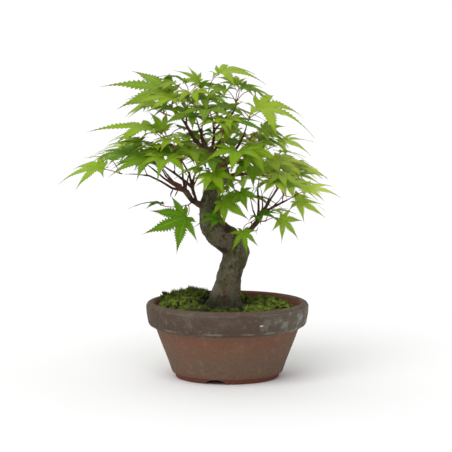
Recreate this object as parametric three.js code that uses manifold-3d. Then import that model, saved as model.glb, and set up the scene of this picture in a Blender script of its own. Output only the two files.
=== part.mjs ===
// A Japanese maple bonsai growing in a round terracotta training pot.
// Millimetres, +Z up. The tree leans in an S along X, and its best side faces -Y.
import * as THREE from "three";
import { mergeVertices } from "three/addons/utils/BufferGeometryUtils.js";
import Module from "manifold-3d";

const wasm = await Module();
wasm.setup();

// ---------------------------------------------------------------- driving dimensions
const GAP = 0.3; // left between pieces that touch
const POT = {
  outerRadius: 78,
  lipRadius: 73.6,
  height: 73.2,
  bandBottom: 47.4,
  footRadius: 50.4,
  footHeight: 5,
  floorTop: 11,
  holeRadius: 8,
  sides: 40,
};
const NOTCH = { width: 20, height: 4, count: 3, firstAngle: -103 };
const MESH = { side: 30, pitch: 10, hole: 6, thick: 0.8 };
const WIRE = { radius: 0.5, legX: 4.6, y: 4.6, tailX: 15 };
const FILL_SIDES = 32;
const DRAINAGE_TOP = 22;
const SOIL_TOP = 65.5;
const LEAF = { thick: 1.0, petioleRadius: 0.42, shootRadius: 0.7, knobRadius: 1.2 };
// Rule-made leaf pairs, in mm and degrees: where the stalks part, how far and how high the
// blades start, which way they point and how far their tips hang.
const FILLER = { forkReach: 9, baseTurn: 48, stalk: 17, lift: 7, tipTurn: 34, sag: 9, lean: 0.35 };
const YOUNG = { stalk: 13, lift: 9, sag: 11, lean: 0.4, turns: [0, 25, -25, 50, -50] };
const TWIG = { startRadius: 1.25, endRadius: 0.75, lead: 7 };

// ---------------------------------------------------------------- materials
const finish = (color, roughness) =>
  new THREE.MeshStandardMaterial({ color, roughness, metalness: 0 });
const makeTerracotta = () => finish(0x75543f, 0.85);
const makePlastic = () => finish(0x26282a, 0.6);
const makeAluminium = () =>
  new THREE.MeshStandardMaterial({ color: 0x6b4a36, roughness: 0.45, metalness: 0.8 });
const makePumice = () => finish(0xb9ab8f, 0.95);
const makeSoil = () => finish(0x4a3a28, 0.95);
const makeMoss = () => finish(0x5f7a22, 0.95);
const makeBark = () => finish(0x4f4636, 0.9);
const makeLeaf = (shade) => finish(new THREE.Color().setHSL(0.25, 0.62, shade), 0.55);

// ---------------------------------------------------------------- solids
function toSolid(geometry) {
  const bare = geometry.clone();
  bare.deleteAttribute("normal");
  bare.deleteAttribute("uv");
  const merged = mergeVertices(bare, 1e-4);
  return new wasm.Manifold(
    new wasm.Mesh({
      numProp: 3,
      vertProperties: merged.attributes.position.array,
      triVerts: new Uint32Array(merged.index.array),
    }),
  );
}

const FINEST = 0.05; // shorter edges than this are closed up after a join

function toGeometry(solid) {
  const mesh = solid.asOriginal().simplify(FINEST).getMesh();
  const geometry = new THREE.BufferGeometry();
  geometry.setAttribute("position", new THREE.BufferAttribute(mesh.vertProperties, 3));
  geometry.setIndex(new THREE.BufferAttribute(mesh.triVerts, 1));
  return geometry;
}

const joinAll = (solids) => solids.reduce((sum, one) => sum.add(one));

const tree = new THREE.Group();

function addPiece(name, geometry, material) {
  const mesh = new THREE.Mesh(geometry, material);
  mesh.name = name;
  tree.add(mesh);
  return mesh;
}

// A profile of [radius, height] points, closed on itself or on the axis, turned about Z.
function turned(profile, sides) {
  const points = profile.map(([r, z]) => new THREE.Vector2(r, z));
  return new THREE.LatheGeometry(points, sides).rotateX(Math.PI / 2);
}

// A capped cylinder bent along a curve, its radius given along the way.
function limbGeometry(curve, radiusAt, sides, steps) {
  const geometry = new THREE.CylinderGeometry(1, 1, 1, sides, steps);
  const frames = curve.computeFrenetFrames(steps, false);
  const place = geometry.attributes.position;
  const point = new THREE.Vector3();
  for (let i = 0; i < place.count; i += 1) {
    const along = place.getY(i) + 0.5;
    const ring = Math.round(along * steps);
    const radius = radiusAt(along);
    curve.getPointAt(along, point);
    point.addScaledVector(frames.normals[ring], place.getZ(i) * radius);
    point.addScaledVector(frames.binormals[ring], place.getX(i) * radius);
    place.setXYZ(i, point.x, point.y, point.z);
  }
  return geometry;
}

const vector = (p) => new THREE.Vector3(p[0], p[1], p[2]);

function mixAlong(values, along) {
  const at = along * (values.length - 1);
  const from = Math.min(Math.floor(at), values.length - 2);
  return THREE.MathUtils.lerp(values[from], values[from + 1], at - from);
}

// ---------------------------------------------------------------- pot
const POT_PROFILE = [
  [POT.holeRadius, POT.footHeight],
  [43, POT.footHeight],
  [44.6, 0.8],
  [45.6, 0],
  [POT.footRadius - 2, 0],
  [POT.footRadius - 0.4, 1],
  [POT.footRadius, POT.footHeight - 0.6],
  [53.3, POT.footHeight + 0.6],
  [57.2, 16.4],
  [60.8, 26.1],
  [64.6, 35.8],
  [67.8, 45],
  [69, POT.bandBottom],
  [72.6, 48.6],
  [75.4, 50.8],
  [76.6, 54.6],
  [POT.outerRadius, 60.5],
  [POT.outerRadius, 69.2],
  [77.3, 71.6],
  [75.6, 72.9],
  [POT.lipRadius, POT.height],
  [71.4, 72.6],
  [70.4, 70.6],
  [64.4, 46],
  [50.4, 14],
  [47, POT.floorTop],
  [POT.holeRadius, POT.floorTop],
  [POT.holeRadius, POT.footHeight],
];

function potSolid() {
  const bowl = toSolid(turned(POT_PROFILE, POT.sides));
  const notches = [];
  for (let i = 0; i < NOTCH.count; i += 1) {
    const arch = new THREE.CylinderGeometry(1, 1, 16, 20);
    arch.scale(NOTCH.width / 2, 1, NOTCH.height);
    arch.translate(0, -49, 0);
    const turn = NOTCH.firstAngle + 90 + (i * 360) / NOTCH.count;
    arch.rotateZ(THREE.MathUtils.degToRad(turn));
    notches.push(toSolid(arch));
  }
  return bowl.subtract(joinAll(notches));
}
addPiece("pot", toGeometry(potSolid()), makeTerracotta());

// ---------------------------------------------------------------- what the pot holds
function drainageMesh() {
  const sheet = new THREE.BoxGeometry(MESH.side, MESH.side, MESH.thick);
  const holes = [];
  for (let x = -MESH.pitch / 2; x <= MESH.pitch / 2; x += MESH.pitch) {
    for (let y = -MESH.pitch / 2; y <= MESH.pitch / 2; y += MESH.pitch) {
      const hole = new THREE.BoxGeometry(MESH.hole, MESH.hole, 3 * MESH.thick);
      holes.push(toSolid(hole.translate(x, y, 0)));
    }
  }
  const net = toSolid(sheet).subtract(joinAll(holes));
  return toGeometry(net).translate(0, 0, POT.floorTop + GAP + MESH.thick / 2);
}
addPiece("drainage_mesh", drainageMesh(), makePlastic());

// The wire staple goes down through two openings of the mesh and spreads under the floor.
function meshWire() {
  const under = POT.footHeight - GAP - WIRE.radius;
  const over = POT.floorTop + 2 * GAP + MESH.thick + WIRE.radius;
  const route = new THREE.CatmullRomCurve3(
    [
      [-WIRE.tailX, WIRE.y, under],
      [-WIRE.legX - 2.4, WIRE.y, under],
      [-WIRE.legX, WIRE.y, under + 2],
      [-WIRE.legX, WIRE.y, over - 1.2],
      [-WIRE.legX + 1.2, WIRE.y, over],
      [WIRE.legX - 1.2, WIRE.y, over],
      [WIRE.legX, WIRE.y, over - 1.2],
      [WIRE.legX, WIRE.y, under + 2],
      [WIRE.legX + 2.4, WIRE.y, under],
      [WIRE.tailX, WIRE.y, under],
    ].map(vector),
    false,
    "catmullrom",
    0.3,
  );
  return limbGeometry(route, () => WIRE.radius, 5, 24);
}
addPiece("mesh_wire", meshWire(), makeAluminium());

// Inner wall radius of the pot at a height, less the gap.
function insideRadius(z) {
  const [low, middle, high] = [[50.4, 14], [64.4, 46], [70.4, 70.6]];
  const [from, to] = z < middle[1] ? [low, middle] : [middle, high];
  return THREE.MathUtils.mapLinear(z, from[1], to[1], from[0], to[0]) - 2 * GAP;
}

const DRAINAGE_PROFILE = [
  [0, POT.floorTop + 3.4],
  [23, POT.floorTop + 3.4],
  [23, POT.floorTop + GAP],
  [46.2, POT.floorTop + GAP],
  [insideRadius(14), 14],
  [insideRadius(DRAINAGE_TOP), DRAINAGE_TOP],
  [0, DRAINAGE_TOP],
];
addPiece("drainage_layer", turned(DRAINAGE_PROFILE, FILL_SIDES), makePumice());

// The soil is mounded a little around the trunk and drops towards the rim.
const soilHeight = (r) => SOIL_TOP + 3.5 * Math.exp(-((r / 30) ** 2)) - 2.6 * (r / 68) ** 2;
const SOIL_RINGS = [0, 20, 38, 55];
const soilEdge = insideRadius(62);
const SOIL_PROFILE = [
  [0, DRAINAGE_TOP + GAP],
  [insideRadius(DRAINAGE_TOP + GAP), DRAINAGE_TOP + GAP],
  [insideRadius(46), 46],
  [soilEdge, soilHeight(soilEdge) - 1],
  ...SOIL_RINGS.map((r) => [r, soilHeight(r)]).reverse(),
];

// ---------------------------------------------------------------- trunk, branches and twigs
// Each limb: its points from thick end to thin end, and its radii along the way.
const LIMBS = {
  trunk: {
    points: [
      [-3, 0, 58], [-2.4, 0, 68], [-2, 0, 75], [0.6, 0, 90], [2.9, 1, 102], [6.4, 2, 111], [9, 3, 120],
      [5.2, 1, 129], [-5.1, -3, 136.5], [-13, -6, 144], [-16.2, -6, 152.5], [-16.4, -4, 161],
      [-15.9, -2, 168.5], [-15.2, 0, 175], [-12.8, 2, 182.6], [-7.1, 4, 189], [-3.4, 4, 195.5],
      [-4.2, 2, 203], [-9.9, -2, 210], [-16.6, -4, 216.3], [-22.4, -4, 221.6],
    ],
    radii: [
      17, 17.6, 15.4, 12.9, 12.2, 11.9, 12.2, 13.2, 13.8, 13.6, 12.8, 11.4, 10.6, 10.2, 8.6, 6.8, 6,
      5.6, 5.2, 4.8, 4,
    ],
    sides: 12,
    steps: 24,
  },
  left: {
    points: [[-16, -5, 161], [-23, -6, 165], [-30, -8, 169], [-36, -10, 174], [-40, -10, 181]],
    radii: [5, 3.4, 2.8, 3, 3.4],
  },
  left_inner: {
    points: [[-17, -3, 164], [-26, -2, 167], [-31, 0, 172], [-33, 2, 178], [-34, 4, 183]],
    radii: [3.4, 2.2, 1.7, 1.7, 2],
  },
  left_low: {
    points: [
      [-40, -10, 181], [-50, -9, 182], [-57, -6, 186], [-67, -2, 191], [-77, 2, 195],
      [-90, 6, 195.5], [-100, 8, 195.5],
    ],
    radii: [2.2, 1.6, 1.4, 1.2, 1.2, 0.8, 0.6],
  },
  left_low_side: { points: [[-77, 2, 195], [-80, -4, 203]], radii: [0.9, 0.7] },
  left_mid: {
    points: [[-40, -10, 182], [-57, -12, 190], [-64, -12, 197], [-70, -10, 201], [-78, -8, 207]],
    radii: [2.4, 1.7, 1.3, 1.2, 0.7],
  },
  left_fan: {
    points: [[-50, -11, 187], [-58, -14, 191], [-59, -18, 200], [-64, -22, 207]],
    radii: [1.6, 1.3, 1.1, 0.7],
  },
  left_front: {
    points: [[-44, -12, 186], [-50, -18, 189], [-58, -24, 199], [-62, -32, 206]],
    radii: [1.8, 1.4, 1.1, 0.7],
  },
  left_up: {
    points: [[-40, -8, 181], [-42, -8, 189], [-43, -10, 199], [-43, -14, 206], [-47, -18, 212]],
    radii: [1.9, 1.4, 1.2, 1.1, 0.8],
  },
  left_inner_up: {
    points: [[-34, 4, 183], [-37, 6, 197], [-44, 10, 208], [-50, 14, 216]],
    radii: [1.7, 1.3, 1.1, 0.7],
  },
  left_inner_high: {
    points: [[-33, 3, 182], [-32, 8, 194], [-27, 8, 203], [-24, 12, 212]],
    radii: [1.6, 1.2, 1, 0.7],
  },
  left_back: {
    points: [[-34, 4, 183], [-44, 18, 190], [-56, 34, 197], [-66, 50, 202]],
    radii: [2, 1.6, 1.3, 0.8],
  },
  right: {
    points: [[6, 1, 129], [15, -1, 137], [21, -3, 142], [26, -5, 146], [29, -5, 151]],
    radii: [4.6, 3, 2.6, 2.9, 3],
  },
  right_low: {
    points: [
      [29, -5, 150], [34, -6, 159], [41, -5, 163], [48, -3, 167], [55, -2, 170], [63, 0, 174],
    ],
    radii: [2.2, 1.7, 1.5, 1.6, 1.2, 0.7],
  },
  right_up: {
    points: [[29, -5, 151], [30, -3, 161], [30, 0, 171], [29, 3, 182], [31, 6, 192]],
    radii: [2, 1.6, 1.4, 1.2, 0.7],
  },
  right_front: {
    points: [[33, -6, 157], [38, -10, 166], [43, -14, 175], [45, -17, 181]],
    radii: [1.5, 1.1, 1, 0.7],
  },
  right_back: {
    points: [[29, -4, 151], [36, 6, 163], [45, 16, 175], [52, 30, 184], [56, 44, 190]],
    radii: [1.9, 1.5, 1.3, 1.1, 0.7],
  },
  front_low: {
    points: [[-15, -6, 152], [-14, -17, 156], [-9, -25, 160], [-2, -31, 165]],
    radii: [3.4, 1.7, 1.3, 0.8],
  },
  back_low: {
    points: [[-14, -4, 150], [-12, 14, 154], [-8, 34, 162], [-2, 54, 170]],
    radii: [4, 2.5, 1.8, 0.9],
  },
  front_mid: {
    points: [[-5, 3, 199], [-2, -10, 202], [1, -24, 204], [4, -38, 206]],
    radii: [3, 1.7, 1.4, 0.8],
  },
  right_mid: {
    points: [[-5, 4, 192], [8, 6, 195], [20, 8, 196], [31, 14, 195], [42, 21, 192]],
    radii: [3.4, 2.2, 1.8, 1.5, 0.8],
  },
  right_mid_back: {
    points: [[20, 8, 196], [26, 26, 200], [30, 44, 203], [32, 60, 206]],
    radii: [1.6, 1.4, 1.2, 0.8],
  },
  back_mid: {
    points: [[-7, 4, 189], [-9, 20, 197], [-14, 42, 205], [-20, 62, 210]],
    radii: [3.4, 2.1, 1.6, 0.9],
  },
  right_high: {
    points: [[-6, 1, 206], [4, 2, 214], [12, -2, 226], [17, -10, 238], [19, -16, 246]],
    radii: [2.8, 1.9, 1.5, 1.2, 0.8],
  },
  top: {
    points: [
      [-18, -4, 218], [-25, -5, 223], [-32, -8, 231], [-39, -12, 244], [-46, -14, 254],
      [-51, -14, 260],
    ],
    radii: [3.4, 2.6, 2.1, 1.7, 1.2, 0.8],
  },
  top_inner: {
    points: [[-39, -12, 243], [-39, -9, 254], [-38, -6, 265]],
    radii: [1.3, 1, 0.7],
  },
  top_left: { points: [[-21, -4, 221], [-25, 3, 231], [-24, 6, 242]], radii: [2.4, 1.6, 0.8] },
  top_right: {
    points: [[-16, -4, 216], [-13, 4, 229], [-13, 3, 243], [-17, -2, 257]],
    radii: [2.4, 1.7, 1.3, 0.8],
  },
  top_right_side: {
    points: [[-13, 3, 237], [-4, 0, 248], [5, -6, 259]],
    radii: [1.4, 1.1, 0.7],
  },
  top_front: {
    points: [[-14, -4, 215], [-10, -14, 224], [-6, -24, 232]],
    radii: [2.2, 1.6, 0.8],
  },
  top_back: {
    points: [[-19, -3, 219], [-24, 14, 230], [-28, 32, 240], [-30, 46, 246]],
    radii: [2.6, 1.7, 1.3, 0.8],
  },
  bare_left: { points: [[-46, -11, 184], [-57, -8, 193], [-66, -6, 205]], radii: [1.4, 1, 0.6] },
  bare_left_up: { points: [[-40, -9, 183], [-37, -15, 196], [-33, -19, 207]], radii: [1.4, 1, 0.6] },
  bare_left_inner: { points: [[-34, 2, 182], [-28, -4, 194], [-23, -8, 206]], radii: [1.3, 0.9, 0.6] },
  bare_right: {
    points: [[29, -6, 151], [24, -8, 164], [22, -9, 174], [26, -10, 186]],
    radii: [1.6, 1, 0.8, 0.6],
  },
  bare_right_up: { points: [[32, -6, 156], [34, -11, 170], [31, -14, 188]], radii: [1.4, 0.9, 0.6] },
  bare_right_side: { points: [[34, -5, 158], [39, 0, 171], [46, 4, 184]], radii: [1.4, 0.9, 0.6] },
  bare_right_low: { points: [[41, -5, 163], [50, -10, 172], [56, -14, 181]], radii: [1.2, 0.8, 0.6] },
  spur_left: { points: [[-30, -8, 169], [-31, -12, 176], [-35, -15, 180]], radii: [1.4, 1, 0.6] },
};
const LIMB_SIDES = 5;
const STEP_LENGTH = 12;

const limbCurve = (limb) => new THREE.CatmullRomCurve3(limb.points.map(vector), false, "centripetal");

function limbSolid(limb, extra = 0) {
  const curve = limbCurve(limb);
  const steps = limb.steps ?? Math.max(2, Math.round(curve.getLength() / STEP_LENGTH));
  const radiusAt = (along) => mixAlong(limb.radii, along) + extra;
  return toSolid(limbGeometry(curve, radiusAt, limb.sides ?? LIMB_SIDES, steps));
}

// Surface roots spread from the foot of the trunk and dive into the soil.
const ROOTS = [
  { angle: 200, reach: 36, radius: 6.4 },
  { angle: 262, reach: 28, radius: 5.4 },
  { angle: 325, reach: 34, radius: 6 },
  { angle: 25, reach: 30, radius: 5.4 },
  { angle: 90, reach: 32, radius: 5.8 },
  { angle: 145, reach: 30, radius: 5.2 },
];

function rootLimb({ angle, reach, radius }) {
  const turn = THREE.MathUtils.degToRad(angle);
  const at = (r, z) => [-2.5 + r * Math.cos(turn), r * Math.sin(turn), z];
  return {
    points: [at(6, 76), at(14, 69.5), at(reach * 0.66, 64), at(reach, 58)],
    radii: [radius, radius, radius * 0.7, radius * 0.35],
    sides: 7,
    steps: 4,
  };
}
const rootLimbs = ROOTS.map(rootLimb);
const socket = joinAll([LIMBS.trunk, ...rootLimbs].map((limb) => limbSolid(limb, GAP)));
const soil = toSolid(turned(SOIL_PROFILE, FILL_SIDES)).subtract(socket);
addPiece("soil", toGeometry(soil), makeSoil());

// ---------------------------------------------------------------- moss
// Each cushion covers a sector of the soil: its middle angle, half width in degrees,
// middle radius, half depth and height.
const MOSS = {
  moss_back_left: [137, 22, 46, 19, 12],
  moss_left: [182, 20, 45, 20, 9],
  moss_front_left: [224, 19, 46, 19, 6],
  moss_front: [266, 20, 48, 17, 5],
  moss_front_right: [308, 19, 47, 18, 5],
  moss_right: [350, 20, 45, 20, 6],
  moss_back_right: [35, 21, 47, 18, 6],
  moss_back: [88, 24, 47, 18, 9],
};

// Pushes a round outline out towards the corners of its sector.
const spread = (t) => Math.sign(t) * Math.abs(t) ** 0.7;

function mossGeometry([angle, halfAngle, radius, halfDepth, height]) {
  const cushion = new THREE.SphereGeometry(1, 12, 6).rotateX(Math.PI / 2);
  const place = cushion.attributes.position;
  for (let i = 0; i < place.count; i += 1) {
    const turn = THREE.MathUtils.degToRad(angle - spread(place.getX(i)) * halfAngle);
    const r = radius + spread(place.getY(i)) * halfDepth;
    const up = place.getZ(i);
    const rise = up > 0 ? up * height : up * GAP;
    place.setXYZ(i, r * Math.cos(turn), r * Math.sin(turn), soilHeight(r) + 3 * GAP + rise);
  }
  return cushion;
}

const woodFoot = joinAll([LIMBS.trunk, ...rootLimbs].map((limb) => limbSolid(limb, 2 * GAP)));
for (const [name, sector] of Object.entries(MOSS)) {
  const cushion = toSolid(mossGeometry(sector)).subtract(woodFoot);
  addPiece(name, toGeometry(cushion), makeMoss());
}

// ---------------------------------------------------------------- leaves
// Lobes and the clefts between them: [angle in degrees, distance], for a middle lobe of 1.
const LOBES = [[-84, 0.58], [-41, 0.84], [0, 1], [41, 0.84], [84, 0.58]];
const CLEFTS = [[-62, 0.25], [-20, 0.3], [20, 0.3], [62, 0.25]];
const BASE_NOTCH = [180, 0.05];

function leafOutline(length) {
  const around = [BASE_NOTCH];
  LOBES.forEach((lobe, i) => around.push(lobe, ...CLEFTS.slice(i, i + 1)));
  return around.map(([angle, distance]) => {
    const turn = THREE.MathUtils.degToRad(angle);
    return new THREE.Vector2(Math.cos(turn), Math.sin(turn)).multiplyScalar(distance * length);
  });
}

// A leaf's frame: X runs out along the middle lobe, Z is its upper side.
function leafFrame(base, tip, facing) {
  const out = tip.clone().sub(base).normalize();
  const up = facing.clone().addScaledVector(out, -facing.dot(out)).normalize();
  const across = up.clone().cross(out);
  return new THREE.Matrix4().makeBasis(out, across, up).setPosition(base);
}

function bladeSolid(base, tip, facing, extra) {
  const length = base.distanceTo(tip) + extra;
  const thick = LEAF.thick + 2 * extra;
  const shape = new THREE.Shape(leafOutline(length));
  const blade = new THREE.ExtrudeGeometry(shape, { depth: thick, bevelEnabled: false });
  blade.translate(0, 0, -thick / 2);
  return toSolid(blade.applyMatrix4(leafFrame(base, tip, facing)));
}

function petioleSolid(start, base, tip, facing, extra) {
  const out = tip.clone().sub(base).normalize();
  const end = base.clone().addScaledVector(out, 1.6);
  const span = start.distanceTo(base);
  const bend = base.clone().addScaledVector(out, -0.3 * span).addScaledVector(facing, -0.16 * span);
  const curve = new THREE.QuadraticBezierCurve3(start, bend, end);
  const radius = LEAF.petioleRadius + extra;
  return toSolid(limbGeometry(curve, () => radius, 3, 3));
}

// Shoots that were placed one by one. Each names its limb, how far along it the shoot starts,
// where its leaf stalks part, the blade length of its young pair (0 for none), and for each of
// its two grown leaves: its base, its tip, which way it faces.
const SHOOTS = [
  ["top_right", 1, [-19, -5, 264], 30,
    [[-9, -8, 292], [36, -20, 285], [0, -1, 4]],
    [[-28, -6, 285], [-50, -8, 298], [0, -2, 3]]],
  ["top_right_side", 1, [8, -8, 265], 28,
    [[13, -10, 280], [40, -14, 271], [0, -1, 3]],
    [[10, -2, 281], [-12, 14, 288], [0, -1, 3]]],
  ["top", 1, [-53, -14, 264], 32,
    [[-50, -22, 270], [-94, -31, 266], [0, -1, 3]],
    [[-56, 1, 273], [-122, 4, 283], [0, -1, 4]]],
  ["top_inner", 1, [-38, -5, 270], 30,
    [[-34, -18, 274], [-26, -56, 262], [0, -1, 2]],
    [[-40, 12, 280], [-70, 42, 280], [0, 0, 1]]],
  ["top_back", 0.8, [-62, 36, 252], 32,
    [[-73, 32, 258], [-108, 38, 257], [0, -1, 4]],
    [[-66, 48, 262], [-98, 72, 264], [0, 0, 1]]],
  ["left_up", 1, [-48, -20, 218], 34,
    [[-60, -28, 240], [-72, -36, 260], [-1, -4, 1]],
    [[-72, -24, 238], [-133, -36, 236], [0, -1, 2]]],
  ["left_low", 1, [-103, 8, 196], 0,
    [[-119, 11, 200], [-164, 12, 186], [0, -1, 3]],
    [[-111, 22, 207], [-132, 46, 213], [0, 0, 1]]],
  ["left_low_side", 1, [-80, -5, 206], 30,
    [[-76, -12, 214], [-111, -24, 205], [0, -1, 3]],
    [[-88, 8, 214], [-134, 32, 208], [0, 0, 1]]],
  ["left_up", 0.7, [-44, -24, 210], 30,
    [[-54, -34, 219], [-78, -74, 206], [0, -1, 3]],
    [[-36, -24, 217], [-24, -62, 203], [0, -1, 2]]],
  ["left", 0.62, [-37, -14, 168], 0,
    [[-39, -26, 158], [-80, -28, 136], [0, -4, 1]],
    [[-64, 4, 166], [-96, -6, 165], [0, 0, 1]]],
  ["front_mid", 0.55, [-6, -28, 203], 30,
    [[-14, -46, 201], [-2, -72, 182], [0, -2, 2]],
    [[-24, -38, 203], [-50, -56, 199], [0, -1, 3]]],
  ["front_low", 0.7, [-9, -30, 164], 0,
    [[-5, -42, 174], [21, -56, 158], [0, -3, 2]],
    [[-8, -40, 157], [-32, -50, 150], [0, -2, 3]]],
  ["front_low", 1, [3, -34, 170], 0,
    [[12, -44, 183], [20, -62, 166], [0, -3, 1]],
    [[-4, -44, 184], [-24, -58, 178], [0, -2, 3]]],
  ["right", 0.75, [23, -20, 152], 0,
    [[15, -42, 146], [18, -52, 121], [0, -4, 1]],
    [[30, -28, 158], [50, -50, 156], [0, -1, 2]]],
  ["right", 1, [36, -2, 151], 0,
    [[50, 4, 153], [70, 8, 131], [0, -3, 2]],
    [[42, 12, 156], [58, 38, 148], [1, 1, 3]]],
  ["right_low", 1, [66, 1, 176], 0,
    [[74, 2, 179], [110, -6, 173], [0, -1, 3]],
    [[66, -8, 170], [94, -18, 156], [0, -1, 2]]],
  ["right_low", 0.72, [54, 8, 175], 28,
    [[66, 16, 172], [96, 24, 159], [0, -1, 3]],
    [[60, 22, 184], [100, 38, 176], [0, 0, 1]]],
  ["right_mid", 1, [45, 22, 194], 34,
    [[47, 14, 206], [88, 20, 201], [0, -1, 3]],
    [[51, 34, 214], [77, 50, 206], [0, -1, 4]]],
  ["right_high", 0.7, [21, -10, 230], 34,
    [[33, -8, 240], [58, -16, 231], [0, -2, 3]],
    [[30, 6, 228], [58, 24, 222], [0, -1, 3]]],
  ["front_mid", 1, [5, -42, 208], 30,
    [[10, -58, 222], [6, -104, 203], [0, -3, 3]],
    [[21, -46, 221], [40, -70, 200], [0, -2, 2]]],
  ["right_high", 1, [21, -19, 251], 36,
    [[27, -28, 261], [82, -38, 234], [0, -1, 3]],
    [[32, -12, 260], [56, 2, 265], [0, -1, 4]]],
  ["top_front", 1, [-4, -31, 239], 34,
    [[0, -46, 249], [38, -68, 238], [0, -1, 2]],
    [[-12, -48, 248], [-2, -88, 236], [0, -1, 2]]],
  ["top", 0.62, [-44, -10, 250], 32,
    [[-60, -26, 252], [-92, -44, 246], [0, -1, 3]],
    [[-30, -2, 254], [-8, 26, 254], [0, 0, 1]]],
  ["top_left", 1, [-22, -8, 250], 34,
    [[-20, -30, 260], [-22, -78, 250], [0, -1, 2]],
    [[-32, -28, 256], [-62, -54, 248], [0, -1, 3]]],
  ["left_front", 1, [-64, -36, 208], 30,
    [[-72, -44, 212], [-112, -58, 200], [0, -1, 3]],
    [[-58, -48, 214], [-66, -88, 198], [0, -1, 2]]],
  ["left_mid", 1, [-82, -8, 210], 32,
    [[-94, -16, 216], [-132, -30, 213], [0, -1, 4]],
    [[-86, 6, 226], [-112, 28, 230], [0, 0, 1]]],
  ["right_front", 1, [47, -20, 184], 30,
    [[56, -30, 190], [88, -48, 178], [0, -1, 3]],
    [[46, -32, 192], [60, -66, 180], [0, -1, 2]]],
  ["right_up", 1, [32, 8, 197], 34,
    [[40, -8, 208], [72, -20, 204], [0, -1, 3]],
    [[24, -10, 204], [24, -46, 188], [0, -2, 2]]],
  ["right_back", 1, [58, 48, 193], 32,
    [[66, 56, 198], [94, 74, 188], [0, 0, 1]],
    [[54, 62, 196], [58, 98, 186], [0, 1, 4]]],
  ["right_back", 0.6, [52, 20, 186], 34,
    [[62, 24, 192], [98, 36, 190], [0, -1, 4]],
    [[44, 34, 186], [44, 66, 178], [0, 0, 1]]],
  ["left_fan", 1, [-66, -22, 212], 32,
    [[-76, -14, 224], [-114, -16, 224], [0, -1, 4]],
    [[-64, -34, 222], [-92, -60, 218], [0, -1, 3]]],
];

// Shoots that fill the far side and the inside. Each names its limb, how far along it starts,
// its compass heading in degrees, how much it rises, its blades and its young pair's blades.
const FILLING = [
  ["back_low", 1, 80, 6, 44, 30],
  ["back_low", 0.6, 20, 4, 40, 0],
  ["back_mid", 1, 105, 6, 46, 32],
  ["back_mid", 0.6, 150, 8, 42, 28],
  ["right_mid_back", 1, 70, 6, 44, 30],
  ["right_mid_back", 0.5, 110, 14, 40, 28],
  ["left_back", 1, 150, 6, 46, 32],
  ["left_back", 0.5, 100, 10, 42, 30],
  ["left_inner_up", 1, 160, 10, 42, 30],
  ["left_inner_high", 1, 60, 8, 40, 30],
  ["top_back", 1, 95, 8, 44, 32],
  ["top_back", 0.55, 40, 14, 42, 30],
];

// A point given by its compass direction, its distance and its height.
function reach(degrees, distance, height) {
  const turn = THREE.MathUtils.degToRad(degrees);
  return new THREE.Vector3(Math.cos(turn) * distance, Math.sin(turn) * distance, height);
}

function fillingShoot([limbName, start, heading, rise, length, young]) {
  const from = limbCurve(LIMBS[limbName]).getPointAt(start);
  const fork = from.clone().add(reach(heading, FILLER.forkReach, rise));
  const leaf = (side) => {
    const base = fork.clone().add(reach(heading + side * FILLER.baseTurn, FILLER.stalk, FILLER.lift));
    const tip = base.clone().add(reach(heading + side * FILLER.tipTurn, length, -FILLER.sag));
    return [base, tip, reach(heading, FILLER.lean, 1)];
  };
  return { limbName, start, fork, young, leaves: [leaf(1), leaf(-1)] };
}

const placedShoots = SHOOTS.map(([limbName, start, fork, young, ...leaves]) => ({
  limbName,
  start,
  fork: vector(fork),
  young,
  leaves: leaves.map((leaf) => leaf.map(vector)),
}));

// The young pair stands crosswise to the grown pair, or as near to it as there is room.
// Each leaf is a list of places to try, the best first.
function youngPair({ fork, young, leaves: [first, second] }) {
  if (!young) return [];
  const span = second[0].clone().sub(first[0]);
  const heading = THREE.MathUtils.radToDeg(Math.atan2(span.y, span.x));
  const leafAt = (degrees) => {
    const base = fork.clone().add(reach(degrees, YOUNG.stalk, YOUNG.lift));
    const tip = base.clone().add(reach(degrees, young, -YOUNG.sag));
    return [base, tip, reach(degrees, YOUNG.lean, 1)];
  };
  return [-90, 90].map((side) => YOUNG.turns.map((turn) => leafAt(heading + side + turn)));
}

const grownPair = ({ leaves }) => leaves.map((leaf) => [leaf]);

const shoots = [...placedShoots, ...FILLING.map(fillingShoot)];

// Each shoot stands on a twig that leaves its limb and ends a gap short of the shoot.
function twigLimb({ limbName, start, fork }) {
  const curve = limbCurve(LIMBS[limbName]);
  const from = curve.getPointAt(start);
  const heading = curve.getTangentAt(start);
  const span = from.distanceTo(fork);
  const toFork = fork.clone().sub(from).normalize();
  const end = fork.clone().addScaledVector(toFork, -Math.min(TWIG.lead, span * 0.5));
  const middle = from.clone().lerp(end, 0.5).addScaledVector(heading, span * 0.06);
  const startRadius = Math.min(TWIG.startRadius, mixAlong(LIMBS[limbName].radii, start));
  return {
    points: [from, middle, end].map((p) => p.toArray()),
    radii: [startRadius, TWIG.endRadius, TWIG.endRadius],
    sides: 4,
  };
}

const twigs = shoots.map(twigLimb);
const wood = joinAll([...Object.values(LIMBS), ...rootLimbs, ...twigs].map((limb) => limbSolid(limb)));
addPiece("trunk_and_branches", toGeometry(wood), makeBark());

// The shoot starts a gap beyond the twig's end face and carries both leaf stalks.
function shootSolid(shoot, twig) {
  const curve = limbCurve(twig);
  const heading = curve.getTangentAt(1);
  const root = curve.getPointAt(1).addScaledVector(heading, GAP);
  const way = new THREE.LineCurve3(root, shoot.fork);
  const stem = toSolid(limbGeometry(way, () => LEAF.shootRadius, 4, 1));
  const knob = new THREE.IcosahedronGeometry(LEAF.knobRadius, 0);
  return stem.add(toSolid(knob.translate(...shoot.fork.toArray())));
}

// Each stalk leaves the knob on the side of its own leaf.
function stalkStart(shoot, leaf) {
  const toLeaf = leaf[0].clone().sub(shoot.fork).normalize();
  return shoot.fork.clone().addScaledVector(toLeaf, LEAF.knobRadius / 2);
}

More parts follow.
